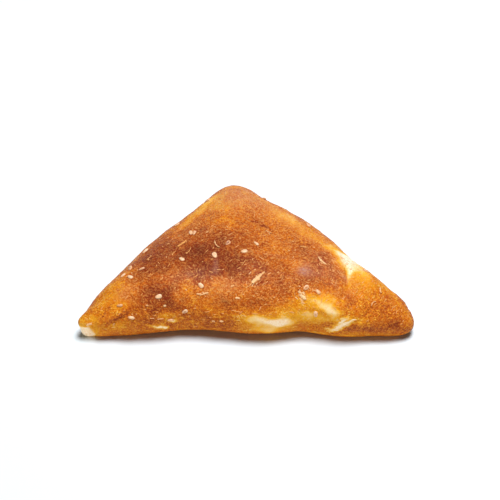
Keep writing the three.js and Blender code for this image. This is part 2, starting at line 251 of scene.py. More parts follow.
@dataclass(frozen=True)
class Outline:
    """The pastry's outline at the rim: a triangle with rounded corners and uneven sides.

    Rows are in the order of the sides, each side with the corner that it starts at.
    """

    corners: tuple[tuple[float, float], ...] = ((-73.8, 0.0), (73.8, 0.0), (-4.6, 82.3))
    roundings: Numbers = (7.5, 8.5, 14.0)
    bows: Numbers = (0.0, 0.6, 0.6)
    swells: tuple[tuple[Swell, ...], ...] = (
        each(
            Swell, (0.12, 0.07, 0.6), (0.33, 0.12, -0.8), (0.48, 0.05, 0.6), (0.55, 0.07, 0.7),
            (0.67, 0.05, -0.4), (0.8, 0.07, 1.3), (0.92, 0.05, 0.4),
        ),
        each(
            Swell, (0.12, 0.1, 4.2), (0.3, 0.13, 2.1), (0.45, 0.06, 0.9), (0.56, 0.12, 3.8),
            (0.73, 0.06, 1.1), (0.84, 0.05, -0.7),
        ),
        each(
            Swell, (0.22, 0.07, -0.7), (0.44, 0.08, 1.9), (0.55, 0.08, 1.7), (0.66, 0.18, 1.2),
            (0.88, 0.07, 1.2),
        ),
    )
    steps: int = 300

    def line(self, number: int) -> SideLine:
        """The line of a side by its number, from its own corner to the next anticlockwise."""
        own, after = number % len(Side), (number + 1) % len(Side)
        return SideLine(self.corners[own], self.corners[after], self.bows[own], self.swells[own])

    def corner(self, incoming: SideLine, outgoing: SideLine, rounding: float) -> Array:
        """A quadratic curve from one side to the next, with the sharp corner as its middle point.

        Args:
            incoming: The side that ends at the corner.
            outgoing: The side that starts there.
            rounding: How far from the corner the curve starts and ends.

        Returns:
            Points along the curve.
        """
        first = incoming.points(np.array([1 - rounding / incoming.span]))
        last = outgoing.points(np.array([rounding / outgoing.span]))
        share = np.linspace(0, 1, self.steps + 1)[:, None]
        middle = np.array(incoming.end)
        return (1 - share) ** 2 * first + 2 * share * (1 - share) * middle + share**2 * last

    def side_curve(self, side: Side) -> Array:
        """Half a corner, the side's own line and half the next corner, in one row of points.

        Args:
            side: The side.

        Returns:
            Points along all of it.
        """
        before, own, after = (self.line(side.value + step) for step in (-1, 0, 1))
        round_in, round_out = (self.roundings[(side.value + step) % len(Side)] for step in (0, 1))
        half = self.steps // 2
        first = self.corner(before, own, round_in)[half:-1]
        last = self.corner(own, after, round_out)[1 : half + 1]
        straight = np.linspace(round_in / own.span, 1 - round_out / own.span, self.steps)
        return np.vstack([first, own.points(straight), last])

    def rim(self, places: RimPlaces) -> Array:
        """Points at equal shares of each side's length, found by adding up its curve's steps.

        Args:
            places: Where on the outline the points are.

        Returns:
            Plan points on the rim.
        """
        rim = np.zeros((len(places.share), 2))
        for side in Side:
            curve = self.side_curve(side)
            steps = np.hypot(*np.diff(curve, axis=0).T)
            length = np.concatenate([[0.0], np.cumsum(steps)]) / steps.sum()
            own = places.on(side)
            found = [np.interp(places.share[own], length, axis) for axis in curve.T]
            rim[own] = np.stack(found, axis=1)
        return rim


@dataclass(frozen=True)
class Loaf:
    """The smooth form: a crowned top, a rim, an undercut below it and a flat base."""

    outline: Outline = Outline()
    crown: tuple[float, float] = (-3.0, 26.0)
    crown_height: float = 28.0
    rim_height: float = 8.0
    corner_rim_heights: Numbers = (8.2, 5.2, 7.0)
    corner_blend: float = 0.25
    undercut: float = 6.0
    left_foot: Swell = Swell(0.0, 0.05, 0.6)
    foot_width: float = 8.0
    plan_power: float = 0.91
    front_squareness: float = 0.22
    front_blend: float = 0.2
    left_thinning: Swell = Swell(0.0, 0.2, 0.34)
    right_thinning: Swell = Swell(0.0, 0.16, 0.22)
    thinning_power: int = 3
    arches: tuple[Swell, ...] = each(Swell, (0.33, 0.13, 1.5), (0.67, 0.06, 1.2))

    def height_of_rim(self, places: RimPlaces) -> Array:
        """The rim's height: lower at the three corners, rising smoothly over a blend from each.

        Args:
            places: Where on the outline it is asked for.

        Returns:
            Heights above the table.
        """
        corner = np.where(places.share < 0.5, places.side, places.side + 1) % len(Side)
        at_corner = np.array(self.corner_rim_heights)[corner]
        middle = smoothstep(places.from_end(), 0.0, self.corner_blend)
        return at_corner + (self.rim_height - at_corner) * middle

    def arch(self, places: RimPlaces) -> Array:
        """How far the folded edge stands off the table, as a sum of swells."""
        height = sum(arch.rise(places.share) for arch in self.arches)
        return np.where(places.on(Side.FRONT), height, 0.0)

    def upper(self, places: RimPlaces, reach: Array) -> Array:
        """The top: a quarter turn from the crown out to the rim.

        The plan goes from the crown to the rim as a power of the turn's sine, and the height
        falls as a power of its cosine. The front's powers are lower, which squares its shoulder,
        and the two ends of the fold are thinned towards the rim.

        Args:
            places: The place of the outline that each point faces.
            reach: 0 at the crown, 1 at the rim.

        Returns:
            Points in space.
        """
        frontness = np.where(
            places.on(Side.FRONT), smoothstep(places.from_end(), 0.0, self.front_blend), 0.0
        )
        squareness = 1 - self.front_squareness * frontness
        turn = reach * TURN / 4
        spread = np.sin(turn) ** (self.plan_power * squareness)
        rise = np.clip(np.cos(turn), 0, 1) ** squareness
        thinning = self.left_thinning.rise(places.from_left())
        thinning += self.right_thinning.rise(places.from_right())
        kept = 1 - thinning * spread**self.thinning_power
        dome = (self.crown_height - self.rim_height) * rise * kept
        edge = self.rim_height + (self.height_of_rim(places) - self.rim_height) * spread
        plan = self.crown + (self.outline.rim(places) - self.crown) * spread[:, None]
        return np.column_stack([plan, dome + edge])

    def inset(self, places: RimPlaces, turned_in: Array | float, extra: float = 0.0) -> Array:
        """Plan points in from the rim, straight towards the crown.

        Args:
            places: The place of the outline that each point starts from.
            turned_in: The share of the undercut, which is smaller at the left tip's foot.
            extra: How much farther in the points are.

        Returns:
            Points seen from above.
        """
        rim = self.outline.rim(places)
        undercut = self.undercut * (1 - self.left_foot.rise(places.from_left()))
        distance = undercut * turned_in + extra
        inwards = self.crown - rim
        return rim + inwards * (distance / np.hypot(*inwards.T))[:, None]

    def lower(self, places: RimPlaces, drop: Array) -> Array:
        """The undercut: a quarter turn from the rim in and down to the level underside.

        Args:
            places: The place of the outline that each point is below.
            drop: 0 at the rim, 1 where the underside is level.

        Returns:
            Points in space.
        """
        turn = drop * TURN / 4
        rim_height, foot = self.height_of_rim(places), self.arch(places)
        height = rim_height + (foot - rim_height) * np.sin(turn)
        return np.column_stack([self.inset(places, 1 - np.cos(turn)), height])

    def base(self, places: RimPlaces, reach: Array) -> Array:
        """The flat base, straight in from its edge to the middle.

        Args:
            places: The place of the outline that each point starts from.
            reach: 0 at the edge, 1 at the middle.

        Returns:
            Points on the table.
        """
        edge = self.inset(places, 1.0, self.foot_width)
        plan = edge + (self.crown - edge) * reach[:, None]
        return np.column_stack([plan, np.zeros(len(plan))])


@dataclass(frozen=True)
class Trail:
    """A path over the crust, each corner an (x, y, z, value)."""

    corners: tuple[tuple[float, float, float, float], ...]

    def nearest(self, points: Array) -> tuple[Array, Array, Array]:
        """Finds the nearest place of the path to each point.

        Args:
            points: Places in space.

        Returns:
            The step from that place to the point, the path's heading there and its value.
        """
        least = np.full(len(points), np.inf)
        step, heading, value = np.zeros_like(points), np.zeros_like(points), np.zeros(len(points))
        for first, last in itertools.pairwise(np.array(self.corners)):
            along = last[:3] - first[:3]
            share = np.clip((points - first[:3]) @ along / (along @ along), 0, 1)
            offset = points - first[:3] - share[:, None] * along
            distance = np.linalg.norm(offset, axis=1)
            closer = distance < least
            least[closer] = distance[closer]
            step[closer] = offset[closer]
            heading[closer] = along / np.linalg.norm(along)
            value[closer] = (first[3] + (last[3] - first[3]) * share)[closer]
        return step, heading, value


@dataclass(frozen=True)
class Line(Trail):
    """A soft line along a path, such as a crease, its value dying away to both sides."""

    half_width: float

    def strength(self, points: Array) -> Array:
        """The path's value at the nearest place, times the bell of the distance to it."""
        step, _, value = self.nearest(points)
        return value * bell(np.linalg.norm(step, axis=1), self.half_width)


@dataclass(frozen=True)
class Ply(Trail):
    """A layer's free edge: it stands up to the left of its path and dies away behind it."""

    reach: float
    lip: float = 0.7

    def rise(self, points: Array, normals: Array) -> Array:
        """The path's value, rising over the lip's width and halving with each reach behind it.

        Args:
            points: Places on the crust.
            normals: The crust's normals there.

        Returns:
            How far each place moves outwards.
        """
        step, heading, value = self.nearest(points)
        behind = np.einsum("ij,ij->i", step, np.cross(normals, heading))
        away = np.linalg.norm(step, axis=1)
        edge = smoothstep(behind, -self.lip / 2, self.lip / 2)
        return value * edge * 0.5 ** (away / self.reach)


@dataclass(frozen=True)
class Bulge:
    """A low swelling of the crust, round seen from above."""

    x: float
    y: float
    radius: float
    height: float

    def rise(self, points: Array) -> Array:
        """The height times the bell of the level distance from the middle."""
        distance = np.hypot(points[:, 0] - self.x, points[:, 1] - self.y)
        return self.height * bell(distance, self.radius)


@dataclass(frozen=True)
class Wave:
    """A long shallow wave of the crust."""

    wavelength: float
    heading: float
    start: float
    height: float

    def rise(self, points: Array) -> Array:
        """The height times a sine of the distance along the heading."""
        along, _ = turned(points, self.heading)
        return self.height * np.sin(TURN * along / self.wavelength + math.radians(self.start))


CREASES = each(
    Line,
    # The notch at the left tip
    (((-64.5, -1.5, 0, 1.5), (-65, -0.5, 7, 1.8), (-63, 2, 11.5, 1.2), (-53, 8, 18, 0.2)), 1.6),
    # The groove under the tip's lobe
    (((-66, 0, 4, 0.3), (-70, 2.5, 4.5, 0.6), (-69.5, 6, 4, 0.6), (-64, 13, 4, 0.2)), 1.7),
    # The fold beside the tip
    (((-61, 0, 8, 0.6), (-56.5, 0.5, 11, 1), (-49, 3.5, 16, 0.8), (-44, 7, 18, 0)), 1.3),
    # The edge of the left-hand flap
    (((-48, 1.5, 13, 0.2), (-45.5, 0.5, 11, 0.6), (-43, 0, 6.5, 0.4)), 1.1),
    # The crease near the back corner
    (((-2, 49, 26, 0.3), (2, 45, 26, 0.8), (7.5, 41.5, 26, 0.9), (13, 36, 26, 0.5),
      (34, 28, 23, 0.2)), 1.4),
    # The edge of the right-hand lobe
    (((41, 32, 16, 0.5), (42.5, 22, 21, 1), (43, 14, 22, 0.9), (39.5, 5, 19, 0.6),
      (36, 0, 12, 0.2)), 1.6),
    # The groove that makes the lip below that lobe
    (((34, 0, 7, 0.2), (40.5, 0, 11.5, 1.2), (50, 1.5, 14.5, 0.8), (55, 5, 17.5, 0.1)), 1.4),
    # The hollow along the front
    (((-22, 4.5, 18, 0), (-8, 4, 19, 0.8), (8, 4, 19, 0.8), (22, 4.5, 19, 0)), 3.2),
)
PLIES = each(
    Ply,
    # The crown's flap beside the right-hand lobe
    (((42.4, 0, 16.5, 0), (41.5, 1.9, 19.5, 0.25), (39.8, 5.4, 21.7, 0.35),
      (41.6, 8.3, 22.1, 0.45), (43, 13, 22.1, 0.5), (42.3, 18.7, 22.3, 0.6),
      (40.4, 24.7, 21.4, 0.6), (38.9, 29.8, 20.5, 0.5), (36, 36, 18, 0)), 5.0),
    # The white lip below that lobe
    (((34, -0.2, 6.8, 0.1), (37.6, -0.5, 8.5, 0.5), (40.5, -0.6, 10.8, 0.6),
      (44.5, -0.6, 14.3, 0.5), (48.8, -0.5, 13.8, 0.3), (52.9, 1, 15.7, 0.3),
      (56.3, 4.8, 17.7, 0)), 3.0),
    # The layer beside the left tip
    (((-60.6, 0, 6.3, 0.2), (-58.3, 0.3, 8.7, 0.5), (-56.6, 1, 10.6, 0.6), (-53, 1.6, 13.5, 0.6),
      (-49.6, 2.4, 15.9, 0.4), (-46.6, 3.4, 18.1, 0)), 3.0),
    # The left-hand flap
    (((-42.3, 0, 7.7, 0.1), (-45.9, 0.3, 11.6, 0.4), (-48.3, 0.9, 14.4, 0.3),
      (-49.5, 2, 16, 0)), 3.0),
    # The tip's lobe
    (((-53, 8.8, 19.3, 0), (-58.1, 5.5, 16, 0.3), (-62.9, 2.7, 11.9, 0.7),
      (-65.1, 1.6, 9.9, 1.1), (-64.5, 1.2, 6.5, 1.1), (-63.8, 1, 2, 0.6)), 3.0),
    # The band near the back corner
    (((-1.3, 49.9, 25.6, 0), (0.4, 46.5, 25.5, 0.4), (4.7, 44.5, 24.7, 0.55),
      (8.6, 41.4, 24.5, 0.5), (12.8, 36.7, 25.4, 0.3), (20, 33, 24.5, 0.15),
      (29.4, 29.4, 23.7, 0.15), (34.8, 25.2, 23.6, 0)), 4.0),
)


@dataclass(frozen=True)
class Ribs:
    """Fine parallel ridges in a soft-edged patch, where layers of dough show edge on."""

    place: Place
    radius: float
    heading: float
    pitch: float
    height: float
    waver: SpaceNoise = SpaceNoise(4.0, 31, 0.5)

    def rise(self, points: Array) -> Array:
        """A wavering sine across the heading, times the bell of the distance from the middle.

        Args:
            points: Places on the crust.

        Returns:
            How high the ridges stand at each place.
        """
        _, across = turned(points, self.heading)
        fade = bell(np.linalg.norm(points - np.array(self.place), axis=1), self.radius)
        return self.height * fade * np.sin(TURN * (across + self.waver.at(points)) / self.pitch)


@dataclass(frozen=True)
class Relief:
    """How the crust stands out from the smooth loaf: the solid's own relief, then finer relief."""

    creases: tuple[Line, ...] = CREASES
    bulges: tuple[Bulge, ...] = each(
        Bulge, (24, 17, 9, 0.9), (-20, 12, 8, 0.7), (-34, 28, 11, 0.6), (12, 42, 7, -0.5),
        (20, 46, 6, 0.7), (52, 13, 8, 0.9), (-56, 13, 7, 0.7), (-3, 62, 7, 0.5), (-71.5, 3, 4, 0.8),
        (66, 8, 6, 0.7),
    )
    waves: tuple[Wave, ...] = each(
        Wave, (47, 20, 40, 0.45), (31, 95, 160, 0.3), (21, 145, 250, 0.22)
    )
    plies: tuple[Ply, ...] = PLIES
    ribs: tuple[Ribs, ...] = each(
        Ribs, ((-58, 6, 16), 7, 34, 1.7, 0.16), ((54, 8, 19), 8, 58, 1.9, 0.1),
        ((40, 24, 21), 7, -48, 1.5, 0.1), ((-4, 60, 23), 9, -38, 1.6, 0.08),
        ((14, 8, 24), 10, 12, 1.8, 0.08),
    )
    upward_start: float = 2.0
    upward_full: float = 10.0
    seam_height: float = 8.5
    seam_waver: float = 0.6
    seam_wavelength: float = 37.0
    seam_gape: float = 0.4
    seam_gape_length: float = 23.0
    seam_half_width: float = 1.3
    seam_depth: float = 1.2
    seam_start: float = 4.0
    seam_full: float = 12.0
    lumps: tuple[SpaceNoise, ...] = each(SpaceNoise, (5.5, 21, 0.16), (2.3, 22, 0.09))
    grain: SpaceNoise = SpaceNoise(1.0, 23, 0.045)
    leaf_thickness: float = 1.1
    leaf_depth: float = 0.11
    leaf_band: float = 4.5
    leaf_waver: SpaceNoise = SpaceNoise(9.0, 24, 0.35)
    blister_seed: int = 11
    blister_count: int = 70
    blister_radius: Span = (0.7, 1.9)
    blister_height: Span = (0.06, 0.2)

    def cut_edge(self, points: Array) -> Array:
        """1 along the two cut edges, 0 along the fold."""
        return smoothstep(points[:, 1], self.seam_start, self.seam_full)

    def seam(self, points: Array) -> Array:
        """The groove between the two leaves of dough: a bell across a wavering, gaping line.

        Args:
            points: Places on the smooth loaf.

        Returns:
            How deep the groove is at each place.
        """
        waver = np.sin(TURN * points[:, 0] / self.seam_wavelength)
        line = self.seam_height + self.seam_waver * waver
        gape = 1 + self.seam_gape * np.sin(TURN * points[:, 1] / self.seam_gape_length)
        across = bell(points[:, 2] - line, self.seam_half_width)
        return self.seam_depth * self.cut_edge(points) * gape * across

    def form(self, points: Array) -> Array:
        """The relief that the solid has too: waves and bulges less the seam and the creases.

        Args:
            points: Places on the smooth loaf.

        Returns:
            How far each place moves outwards.
        """
        upward = smoothstep(points[:, 2], self.upward_start, self.upward_full)
        risen = sum(shape.rise(points) for shape in (*self.waves, *self.bulges))
        creased = sum(crease.strength(points) for crease in self.creases)
        return np.where(points[:, 2] > 0, upward * risen - self.seam(points) - creased, 0.0)

    def blisters(self, points: Array) -> Array:
        """Small round blisters at seeded places, each a bell of the distance to its middle.

        Args:
            points: Places on the loaf.

        Returns:
            How far each place moves outwards.
        """
        draw = np.random.default_rng(self.blister_seed)
        upper = points[points[:, 2] > self.upward_full]
        middles = upper[draw.integers(0, len(upper), self.blister_count)]
        radii = draw.uniform(*self.blister_radius, self.blister_count)
        heights = draw.uniform(*self.blister_height, self.blister_count)
        total = np.zeros(len(points))
        for middle, radius, height in zip(middles, radii, heights):
            total += height * bell(np.linalg.norm(points - middle, axis=1), radius)
        return total

    def leaves(self, points: Array, normals: Array) -> Array:
        """The edges of the leaves: a sine of the height, near the seam and where it is steep.

        Args:
            points: Places on the loaf.
            normals: The loaf's normals there.

        Returns:
            How far each place moves outwards.
        """
        steepness = np.sqrt(np.clip(1 - normals[:, 2] ** 2, 0, 1))
        leaves = np.sin(TURN * (points[:, 2] + self.leaf_waver.at(points)) / self.leaf_thickness)
        near_seam = bell(points[:, 2] - self.seam_height, self.leaf_band)
        return self.leaf_depth * leaves * near_seam * steepness**2 * self.cut_edge(points)

    def fine(self, points: Array, normals: Array) -> Array:
        """Finer relief: layer edges, ridges, lumps of three sizes, blisters and leaves of dough.

        Args:
            points: Places on the loaf.
            normals: The loaf's normals there.

        Returns:
            How far each place moves outwards.
        """
        layered = sum(ply.rise(points, normals) for ply in self.plies)
        layered += sum(ribs.rise(points) for ribs in self.ribs)
        lumps = sum(lump.at(points) for lump in self.lumps)
        off_table = smoothstep(points[:, 2], 0.0, self.upward_start)
        uneven = layered + lumps + self.grain.at(points)
        return off_table * (uneven + self.leaves(points, normals) + self.blisters(points))


@dataclass(frozen=True)
class SkinLattice:
    """The points and triangles that cover the loaf, by place of the outline and ring.

    Ring n above the rim has n points on each stretch of a side, so the triangles keep near one
    size. Below the rim every ring has as many points as the rim.
    """

    rings: int = 112
    stretches_per_side: int = 3
    rings_below_rim: int = 18
    base_rings: int = 5
    crowding: float = 0.25

    @property
    def stretches(self) -> int:
        """The stretches of all three sides."""
        return len(Side) * self.stretches_per_side

    def crowded(self, even: Array) -> Array:
        """Shares drawn towards a side's ends, by taking off part of a full sine wave."""
        return even - self.crowding * np.sin(TURN * even) / TURN

    def upper(self) -> tuple[RimPlaces, Array, Array]:
        """The lattice above the rim.

        Returns:
            The place of the outline and the reach of each point, and the triangles.
        """
        count = np.maximum(self.stretches * np.arange(self.rings + 1), 1)
        start = np.concatenate([[0], np.cumsum(count)[:-1]])
        ring = np.repeat(np.arange(self.rings + 1), count)
        position = np.arange(len(ring)) - start[ring]
        place = position / (np.maximum(ring, 1) * self.stretches_per_side)
        side = np.floor(place).astype(int)
        following = start[ring] + (position + 1) % count[ring]
        outer = np.flatnonzero(ring >= 1)
        stretch, step = np.divmod(position[outer], ring[outer])
        inner_ring = ring[outer] - 1
        inwards = start[inner_ring] + (stretch * inner_ring + step) % count[inner_ring]
        pointing_in = np.column_stack([inwards, outer, following[outer]])
        inner = np.flatnonzero((ring >= 1) & (ring < self.rings))
        stretch, step = np.divmod(position[inner], ring[inner])
        outer_ring = ring[inner] + 1
        outwards = start[outer_ring] + (stretch * outer_ring + step + 1) % count[outer_ring]
        pointing_out = np.column_stack([inner, outwards, following[inner]])
        triangles = np.vstack([pointing_in, pointing_out])
        return RimPlaces(side, self.crowded(place - side)), ring / self.rings, triangles


@dataclass
class SkinMesh:
    """Points and triangles of a closed skin."""

    points: Array
    triangles: Array

    def normals(self) -> Array:
        """Each point's normal: its triangles' normals, added up by area and set to length 1.

        Returns:
            One row for each point.
        """
        corners = self.points[self.triangles]
        faces = np.cross(corners[:, 1] - corners[:, 0], corners[:, 2] - corners[:, 0])
        spread = np.repeat(faces, 3, axis=0)
        index = self.triangles.ravel()
        sums = [np.bincount(index, spread[:, axis], len(self.points)) for axis in range(3)]
        total = np.column_stack(sums)
        return total / np.maximum(np.linalg.norm(total, axis=1, keepdims=True), TINY)


def skin_of(loaf: Loaf, lattice: SkinLattice) -> SkinMesh:
    """Lays the lattice over the loaf, from the crown over the rim to the middle of the base.

    Args:
        loaf: The smooth form.
        lattice: How finely it is covered.

    Returns:
        The smooth skin.
    """
    places, reach, triangles = lattice.upper()
    count = lattice.stretches * lattice.rings
    rim = RimPlaces(places.side[-count:], places.share[-count:])
    rows, faces = [loaf.upper(places, reach)], [triangles]
    made = len(reach)
    drops = np.arange(1, lattice.rings_below_rim + 1) / lattice.rings_below_rim
    shrinks = np.arange(lattice.base_rings) / lattice.base_rings
    for make, depths in ((loaf.lower, drops), (loaf.base, shrinks)):
        for depth in depths:
            rows.append(make(rim, np.full(count, depth)))
            faces.append(band(made - count, made, count))
            made += count
    rows.append(np.array([[*loaf.crown, 0.0]]))
    faces.append(fan(made - count, made, count))
    return SkinMesh(np.vstack(rows), np.vstack(faces))


@dataclass(frozen=True)
class Placement:
    """Moves millimetre points of the pastry's plan into the frame, in metres."""

    shift: Place

    @classmethod
    def onto_node(cls, points: Array) -> "Placement":
        """The shift that puts the middle of these points' box over the middle of the node's.

        Args:
            points: The pastry's points, in plan millimetres.

        Returns:
            The placement, with the lowest points on the node's base.
        """
        low, high = (np.array(corner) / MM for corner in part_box(PASTRY_NODE))
        middle = (low + high - points.min(axis=0) - points.max(axis=0)) / 2
        return cls((float(middle[0]), float(middle[1]), float(low[2] - points[:, 2].min())))

    def metres(self, points: Array) -> Array:
        """The points with the shift added, as metres."""
        return (points + np.array(self.shift)) * MM


def build_mesh(name: str, points: Array, faces: Array) -> bpy.types.Object:
    """Makes a smooth-shaded object at the origin from metre points and faces of one size.

    Args:
        name: The object's name.
        points: One row of x, y and z for each vertex.
        faces: One row of vertex numbers for each face.

    Returns:
        The new object, linked to the scene.
    """
    mesh = bpy.data.meshes.new(name)
    sides = faces.shape[1]
    mesh.vertices.add(len(points))
    mesh.vertices.foreach_set("co", points.astype(np.float32).ravel())
    mesh.loops.add(faces.size)
    mesh.loops.foreach_set("vertex_index", faces.astype(np.int32).ravel())
    mesh.polygons.add(len(faces))
    mesh.polygons.foreach_set("loop_start", np.arange(len(faces), dtype=np.int32) * sides)
    mesh.polygons.foreach_set("use_smooth", np.ones(len(faces), dtype=bool))
    mesh.update(calc_edges=True)
    mesh.validate()
    piece = bpy.data.objects.new(name, mesh)
    bpy.context.scene.collection.objects.link(piece)
    return piece


def set_attribute(piece: bpy.types.Object, name: str, values: Array) -> None:
    """Stores one number for each vertex under a name that the materials read."""
    layer = piece.data.attributes.new(name, "FLOAT", "POINT")
    layer.data.foreach_set("value", values.astype(np.float32))


def linear(red: int, green: int, blue: int) -> Colour:
    """A colour given as it looks on a screen, 0 to 255, as the linear light that shaders use.

    Up to 0.04045 a share is divided by 12.92. Above it, 0.055 is added, the sum is divided by
    1.055, and the result is raised to the power 2.4.

    Args:
        red: How red it looks.
        green: How green it looks.
        blue: How blue it looks.

    Returns:
        The three linear shares.
    """
    shares = np.array([red, green, blue]) / 255
    low = shares / 12.92
    high = ((shares + 0.055) / 1.055) ** 2.4
    return tuple(float(value) for value in np.where(shares <= 0.04045, low, high))


@dataclass(frozen=True)
class Glow:
    """Light that enters a surface and comes out beside it, by a depth in millimetres."""

    weight: float
    spread: Colour
    depth: float

    def inputs(self) -> dict[str, object]:
        """The shader's values for it."""
        values = (self.weight, self.spread, self.depth * MM)
        return dict(zip(("Subsurface Weight", "Subsurface Radius", "Subsurface Scale"), values))


class NodeBoard:
    """Adds and wires the nodes of one material."""

    def __init__(self, name: str) -> None:
        """Starts an empty material with its output node.

        Args:
            name: The material's name.
        """
        self.material = bpy.data.materials.new(name)
        self.material.use_nodes = True
        self.tree = self.material.node_tree
        self.tree.nodes.clear()
        self.output = self.tree.nodes.new("ShaderNodeOutputMaterial")

    def add(self, kind: str, inputs: dict | None = None, **settings: object) -> bpy.types.Node:
        """Adds a node.

        Args:
            kind: The node's Blender type.
            inputs: A value, or a socket to link, for each input by name or number.
            settings: The node's own properties.

        Returns:
            The new node.
        """
        node = self.tree.nodes.new(kind)
        for key, value in settings.items():
            setattr(node, key, value)
        for key, value in (inputs or {}).items():
            if isinstance(value, bpy.types.NodeSocket):
                self.tree.links.new(value, node.inputs[key])
            else:
                node.inputs[key].default_value = value
        return node

    def maths(self, operation: str, *values: object) -> object:
        """The result of one sum on two or three values or sockets."""
        node = self.add("ShaderNodeMath", dict(enumerate(values)), operation=operation)
        return node.outputs[0]

    def greatest(self, *values: object) -> object:
        """The greatest of all the values."""
        return functools.reduce(functools.partial(self.maths, "MAXIMUM"), values)

    def product(self, *factors: object) -> object:
        """All the factors multiplied together."""
        return functools.reduce(functools.partial(self.maths, "MULTIPLY"), factors)

    def sloped(self, value: object, slope: object, start: object) -> object:
        """The value times the slope, plus the start."""
        return self.maths("MULTIPLY_ADD", value, slope, start)

    def centred(self, value: object, depth: float) -> object:
        """A value from 0 to 1, turned into one from minus half the depth to plus half of it."""
        return self.sloped(value, depth, -depth / 2)

    def mix(self, share: object, first: object, second: object) -> object:
        """Two colours mixed by a share."""
        inputs = {0: share, 6: first, 7: second}
        return self.add("ShaderNodeMix", inputs, data_type="RGBA").outputs[2]

    def grade(self, value: object, *limits: float) -> object:
        """A value's place between two limits, smoothed, as a share or in two more values' range."""
        inputs = dict(enumerate((value, *limits)))
        return self.add("ShaderNodeMapRange", inputs, interpolation_type="SMOOTHSTEP").outputs[0]

    def ramp(self, value: object, stops: Stops) -> object:
        """A colour picked from a row of stops.

        Args:
            value: Where on the row it is, from 0 to 1.
            stops: The place and the linear colour of each stop.

        Returns:
            The colour's socket.
        """
        node = self.add("ShaderNodeValToRGB", {"Fac": value})
        elements = node.color_ramp.elements
        while len(elements) < len(stops):
            elements.new(1.0)
        for element, (place, colour) in zip(elements, stops):
            element.position = place
            element.color = (*colour, 1.0)
        return node.outputs["Color"]

    def millimetres(self, stretch: Place = (1.0, 1.0, 1.0), turn: float = 0.0) -> object:
        """Object coordinates in millimetres, turned about the upright axis, then stretched.

        Args:
            stretch: How much longer a pattern gets along each axis.
            turn: The turn, in degrees.

        Returns:
            The coordinates' socket.
        """
        place = self.add("ShaderNodeTexCoord").outputs["Object"]
        scale = tuple(MM * length for length in stretch)
        inputs = {"Vector": place, "Scale": scale, "Rotation": (0.0, 0.0, math.radians(turn))}
        return self.add("ShaderNodeMapping", inputs, vector_type="TEXTURE").outputs["Vector"]

    def warped(self, place: object, size: float, amount: float) -> object:
        """Places pushed about by noise.

        Args:
            place: The places' socket.
            size: The size of the noise's lumps.
            amount: How far it pushes from end to end.

        Returns:
            The pushed places' socket.
        """
        noise = self.add("ShaderNodeTexNoise", {"Vector": place, "Scale": 1 / size, "Detail": 1.0})
        inputs = {0: noise.outputs["Color"], 1: (amount,) * 3, 2: place}
        return self.add("ShaderNodeVectorMath", inputs, operation="MULTIPLY_ADD").outputs[0]

    def noise(self, place: object, size: float, detail: float, roughness: float = 0.5) -> object:
        """Noise whose lumps are about the given size in millimetres."""
        inputs = {"Vector": place, "Scale": 1 / size, "Detail": detail, "Roughness": roughness}
        return self.add("ShaderNodeTexNoise", inputs).outputs["Fac"]

    def attribute(self, name: str) -> object:
        """A number stored on the mesh's vertices."""
        return self.add("ShaderNodeAttribute", attribute_name=name).outputs["Fac"]

    def bump(self, height: object, strength: float, depth: float) -> object:
        """A normal bent by a height, whose full range counts as a depth in millimetres."""
        inputs = {"Height": height, "Strength": strength, "Distance": depth * MM}
        return self.add("ShaderNodeBump", inputs).outputs["Normal"]

    def surface(self, inputs: dict) -> bpy.types.Material:
        """Ends the board with a Principled shader.

        Args:
            inputs: The shader's values and sockets.

        Returns:
            The finished material.
        """
        shader = self.add("ShaderNodeBsdfPrincipled", inputs)
        self.tree.links.new(shader.outputs["BSDF"], self.output.inputs["Surface"])
        return self.material


@dataclass(frozen=True)
class SoftPatch:
    """A soft-edged patch on the crust: a place baked more, or less, than its surroundings, and also
    each patch of painted sheen.

    The turn is in degrees about the upright axis. More softness gives a sharper middle and a
    longer fade, and less gives a flatter middle and a firmer edge.
    """

    place: Place
    radii: Place
    turn: float
    amount: float
    softness: float = 1.0

    def strength(self, points: Array) -> Array:
        """The amount, fading by the bell of the distance measured in the patch's own radii.

        Args:
            points: Places in space.

        Returns:
            What the patch adds at each place.
        """
        offset = points - np.array(self.place)
        along, across = turned(offset, self.turn)
        long, wide, high = self.radii
        distance = (along / long) ** 2 + (across / wide) ** 2 + (offset[:, 2] / high) ** 2
        return self.amount * np.exp(-(distance ** (1 / self.softness)))


